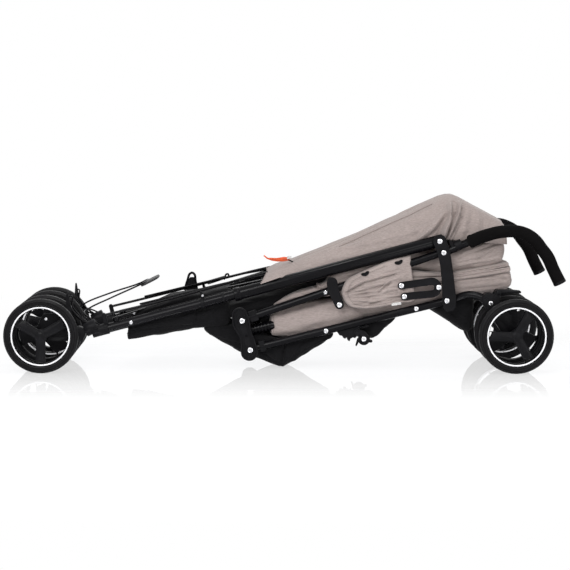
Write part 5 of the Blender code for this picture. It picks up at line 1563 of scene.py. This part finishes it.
def make_floor(scene):
    """White floor: mirrors what stands on it, is partly clear to the camera and fades to plain white."""
    work = bmesh.new()
    bmesh.ops.create_grid(work, x_segments=1, y_segments=1, size=FLOOR_HALF)
    mesh = mesh_of("floor", work)
    floor = bpy.data.objects.new("floor", mesh)
    scene.collection.objects.link(floor)
    material = bpy.data.materials.new("studio_floor")
    material.use_nodes = True
    tree = material.node_tree
    tree.nodes.remove(tree.nodes["Principled BSDF"])
    place = add_node(tree, "ShaderNodeTexCoord").outputs["Object"]
    matt = add_node(tree, "ShaderNodeBsdfDiffuse", Color=(0.93, 0.93, 0.935, 1.0))
    gloss = add_node(tree, "ShaderNodeBsdfGlossy", Color=(0.96, 0.97, 1.0, 1.0), Roughness=0.02)
    aside = add_node(tree, "ShaderNodeSeparateXYZ", Vector=place).outputs["Y"]
    ahead = math_node(tree, "ABSOLUTE", aside, 0.0)
    polish = mixed_shader(tree, span(tree, ahead, 0.16, 0.60, POLISH, 0.0), matt, gloss)
    seen = add_node(tree, "ShaderNodeLightPath").outputs["Is Camera Ray"]
    clear = tree.nodes.new("ShaderNodeBsdfTransparent")
    thin = mixed_shader(tree, math_node(tree, "MULTIPLY", seen, CLEARNESS), polish, clear)
    lift = add_node(tree, "ShaderNodeEmission", Color=WHITE, Strength=math_node(tree, "MULTIPLY", seen, LIFT))
    lifted = tree.nodes.new("ShaderNodeAddShader")
    tree.links.new(thin.outputs[0], lifted.inputs[0])
    tree.links.new(lift.outputs[0], lifted.inputs[1])
    shrunk = add_node(tree, "ShaderNodeMapping", Vector=place, Scale=(0.75, 1.0, 1.0)).outputs["Vector"]
    far = add_node(tree, "ShaderNodeVectorMath", {"operation": "LENGTH"}, Vector=shrunk).outputs["Value"]
    paper = add_node(tree, "ShaderNodeEmission", Color=WHITE, Strength=1.0)
    surface = mixed_shader(tree, span(tree, far, 0.75, 1.6, 0.0, 1.0), lifted, paper)
    tree.links.new(surface.outputs[0], tree.nodes["Material Output"].inputs["Surface"])
    mesh.materials.append(material)
    return floor


def maker(identifier, label, text, job):
    """Operator class that makes one group of pieces."""
    def execute(self, context):
        job()
        return {"FINISHED"}
    return type(f"STROLLER_OT_{identifier}", (bpy.types.Operator,), {
        "bl_idname": f"stroller.{identifier}", "bl_label": label, "__doc__": text, "execute": execute})


MAKERS = [
    maker("stage", "Stage", "Make the camera, the lamps and the floor", make_stage),
    maker("wheels", "Wheels", "Make rims, rings, tyres and axles", make_wheels),
    maker("tubes", "Tubes", "Make the painted tubes of both side frames", make_tubes),
    maker("grips", "Grips", "Make the foam grips and their caps", make_grips),
    maker("plates", "Plates", "Make hinge plates, stays, saddles and knuckles", make_plates),
    maker("screws", "Screws", "Set the bright screws", make_screws),
    maker("kept", "Kept nodes", "Finish the CAD nodes that keep their shape", dress_kept_nodes),
    maker("canopy", "Canopy", "Make the folded canopy", make_canopy),
    maker("rolls", "Seat rolls", "Make the folded seat back", make_rolls),
    maker("seat_pad", "Seat pad", "Make the seat pad", make_seat_pad),
    maker("pockets", "Pockets", "Make the gathered pockets round the push tubes", make_pockets),
    maker("black_cloth", "Black cloth", "Make basket, calf cloth and lining", make_black_cloth),
    maker("footrest", "Footrest", "Make the folded footrest's wires and paddle", make_footrest),
    maker("leg_fittings", "Leg fittings", "Make bands, brackets and rods along the legs", make_leg_fittings),
    maker("clips", "Clips", "Make clips, plugs, brackets and the pull tab", make_clips),
]


class STROLLER_PT_sidebar(bpy.types.Panel):
    bl_label = "Stroller"
    bl_idname = "STROLLER_PT_sidebar"
    bl_space_type = "VIEW_3D"
    bl_region_type = "UI"
    bl_category = "Stroller"

    def draw(self, context):
        for group in (context.scene.stroller_colours, context.scene.stroller_sizes):
            box = self.layout.box()
            for key in group.__annotations__:
                box.prop(group, key)
        for operator in MAKERS:
            self.layout.operator(operator.bl_idname)


CLASSES = [StrollerColours, StrollerSizes, *MAKERS, STROLLER_PT_sidebar]


def register():
    for item in CLASSES:
        bpy.utils.register_class(item)
    bpy.types.Scene.stroller_colours = bpy.props.PointerProperty(type=StrollerColours)
    bpy.types.Scene.stroller_sizes = bpy.props.PointerProperty(type=StrollerSizes)


def unregister():
    del bpy.types.Scene.stroller_sizes
    del bpy.types.Scene.stroller_colours
    for item in reversed(CLASSES):
        bpy.utils.unregister_class(item)


def main():
    register()
    for operator in MAKERS:
        getattr(bpy.ops.stroller, operator.bl_idname.split(".")[1])()


if __name__ == "__main__":
    main()
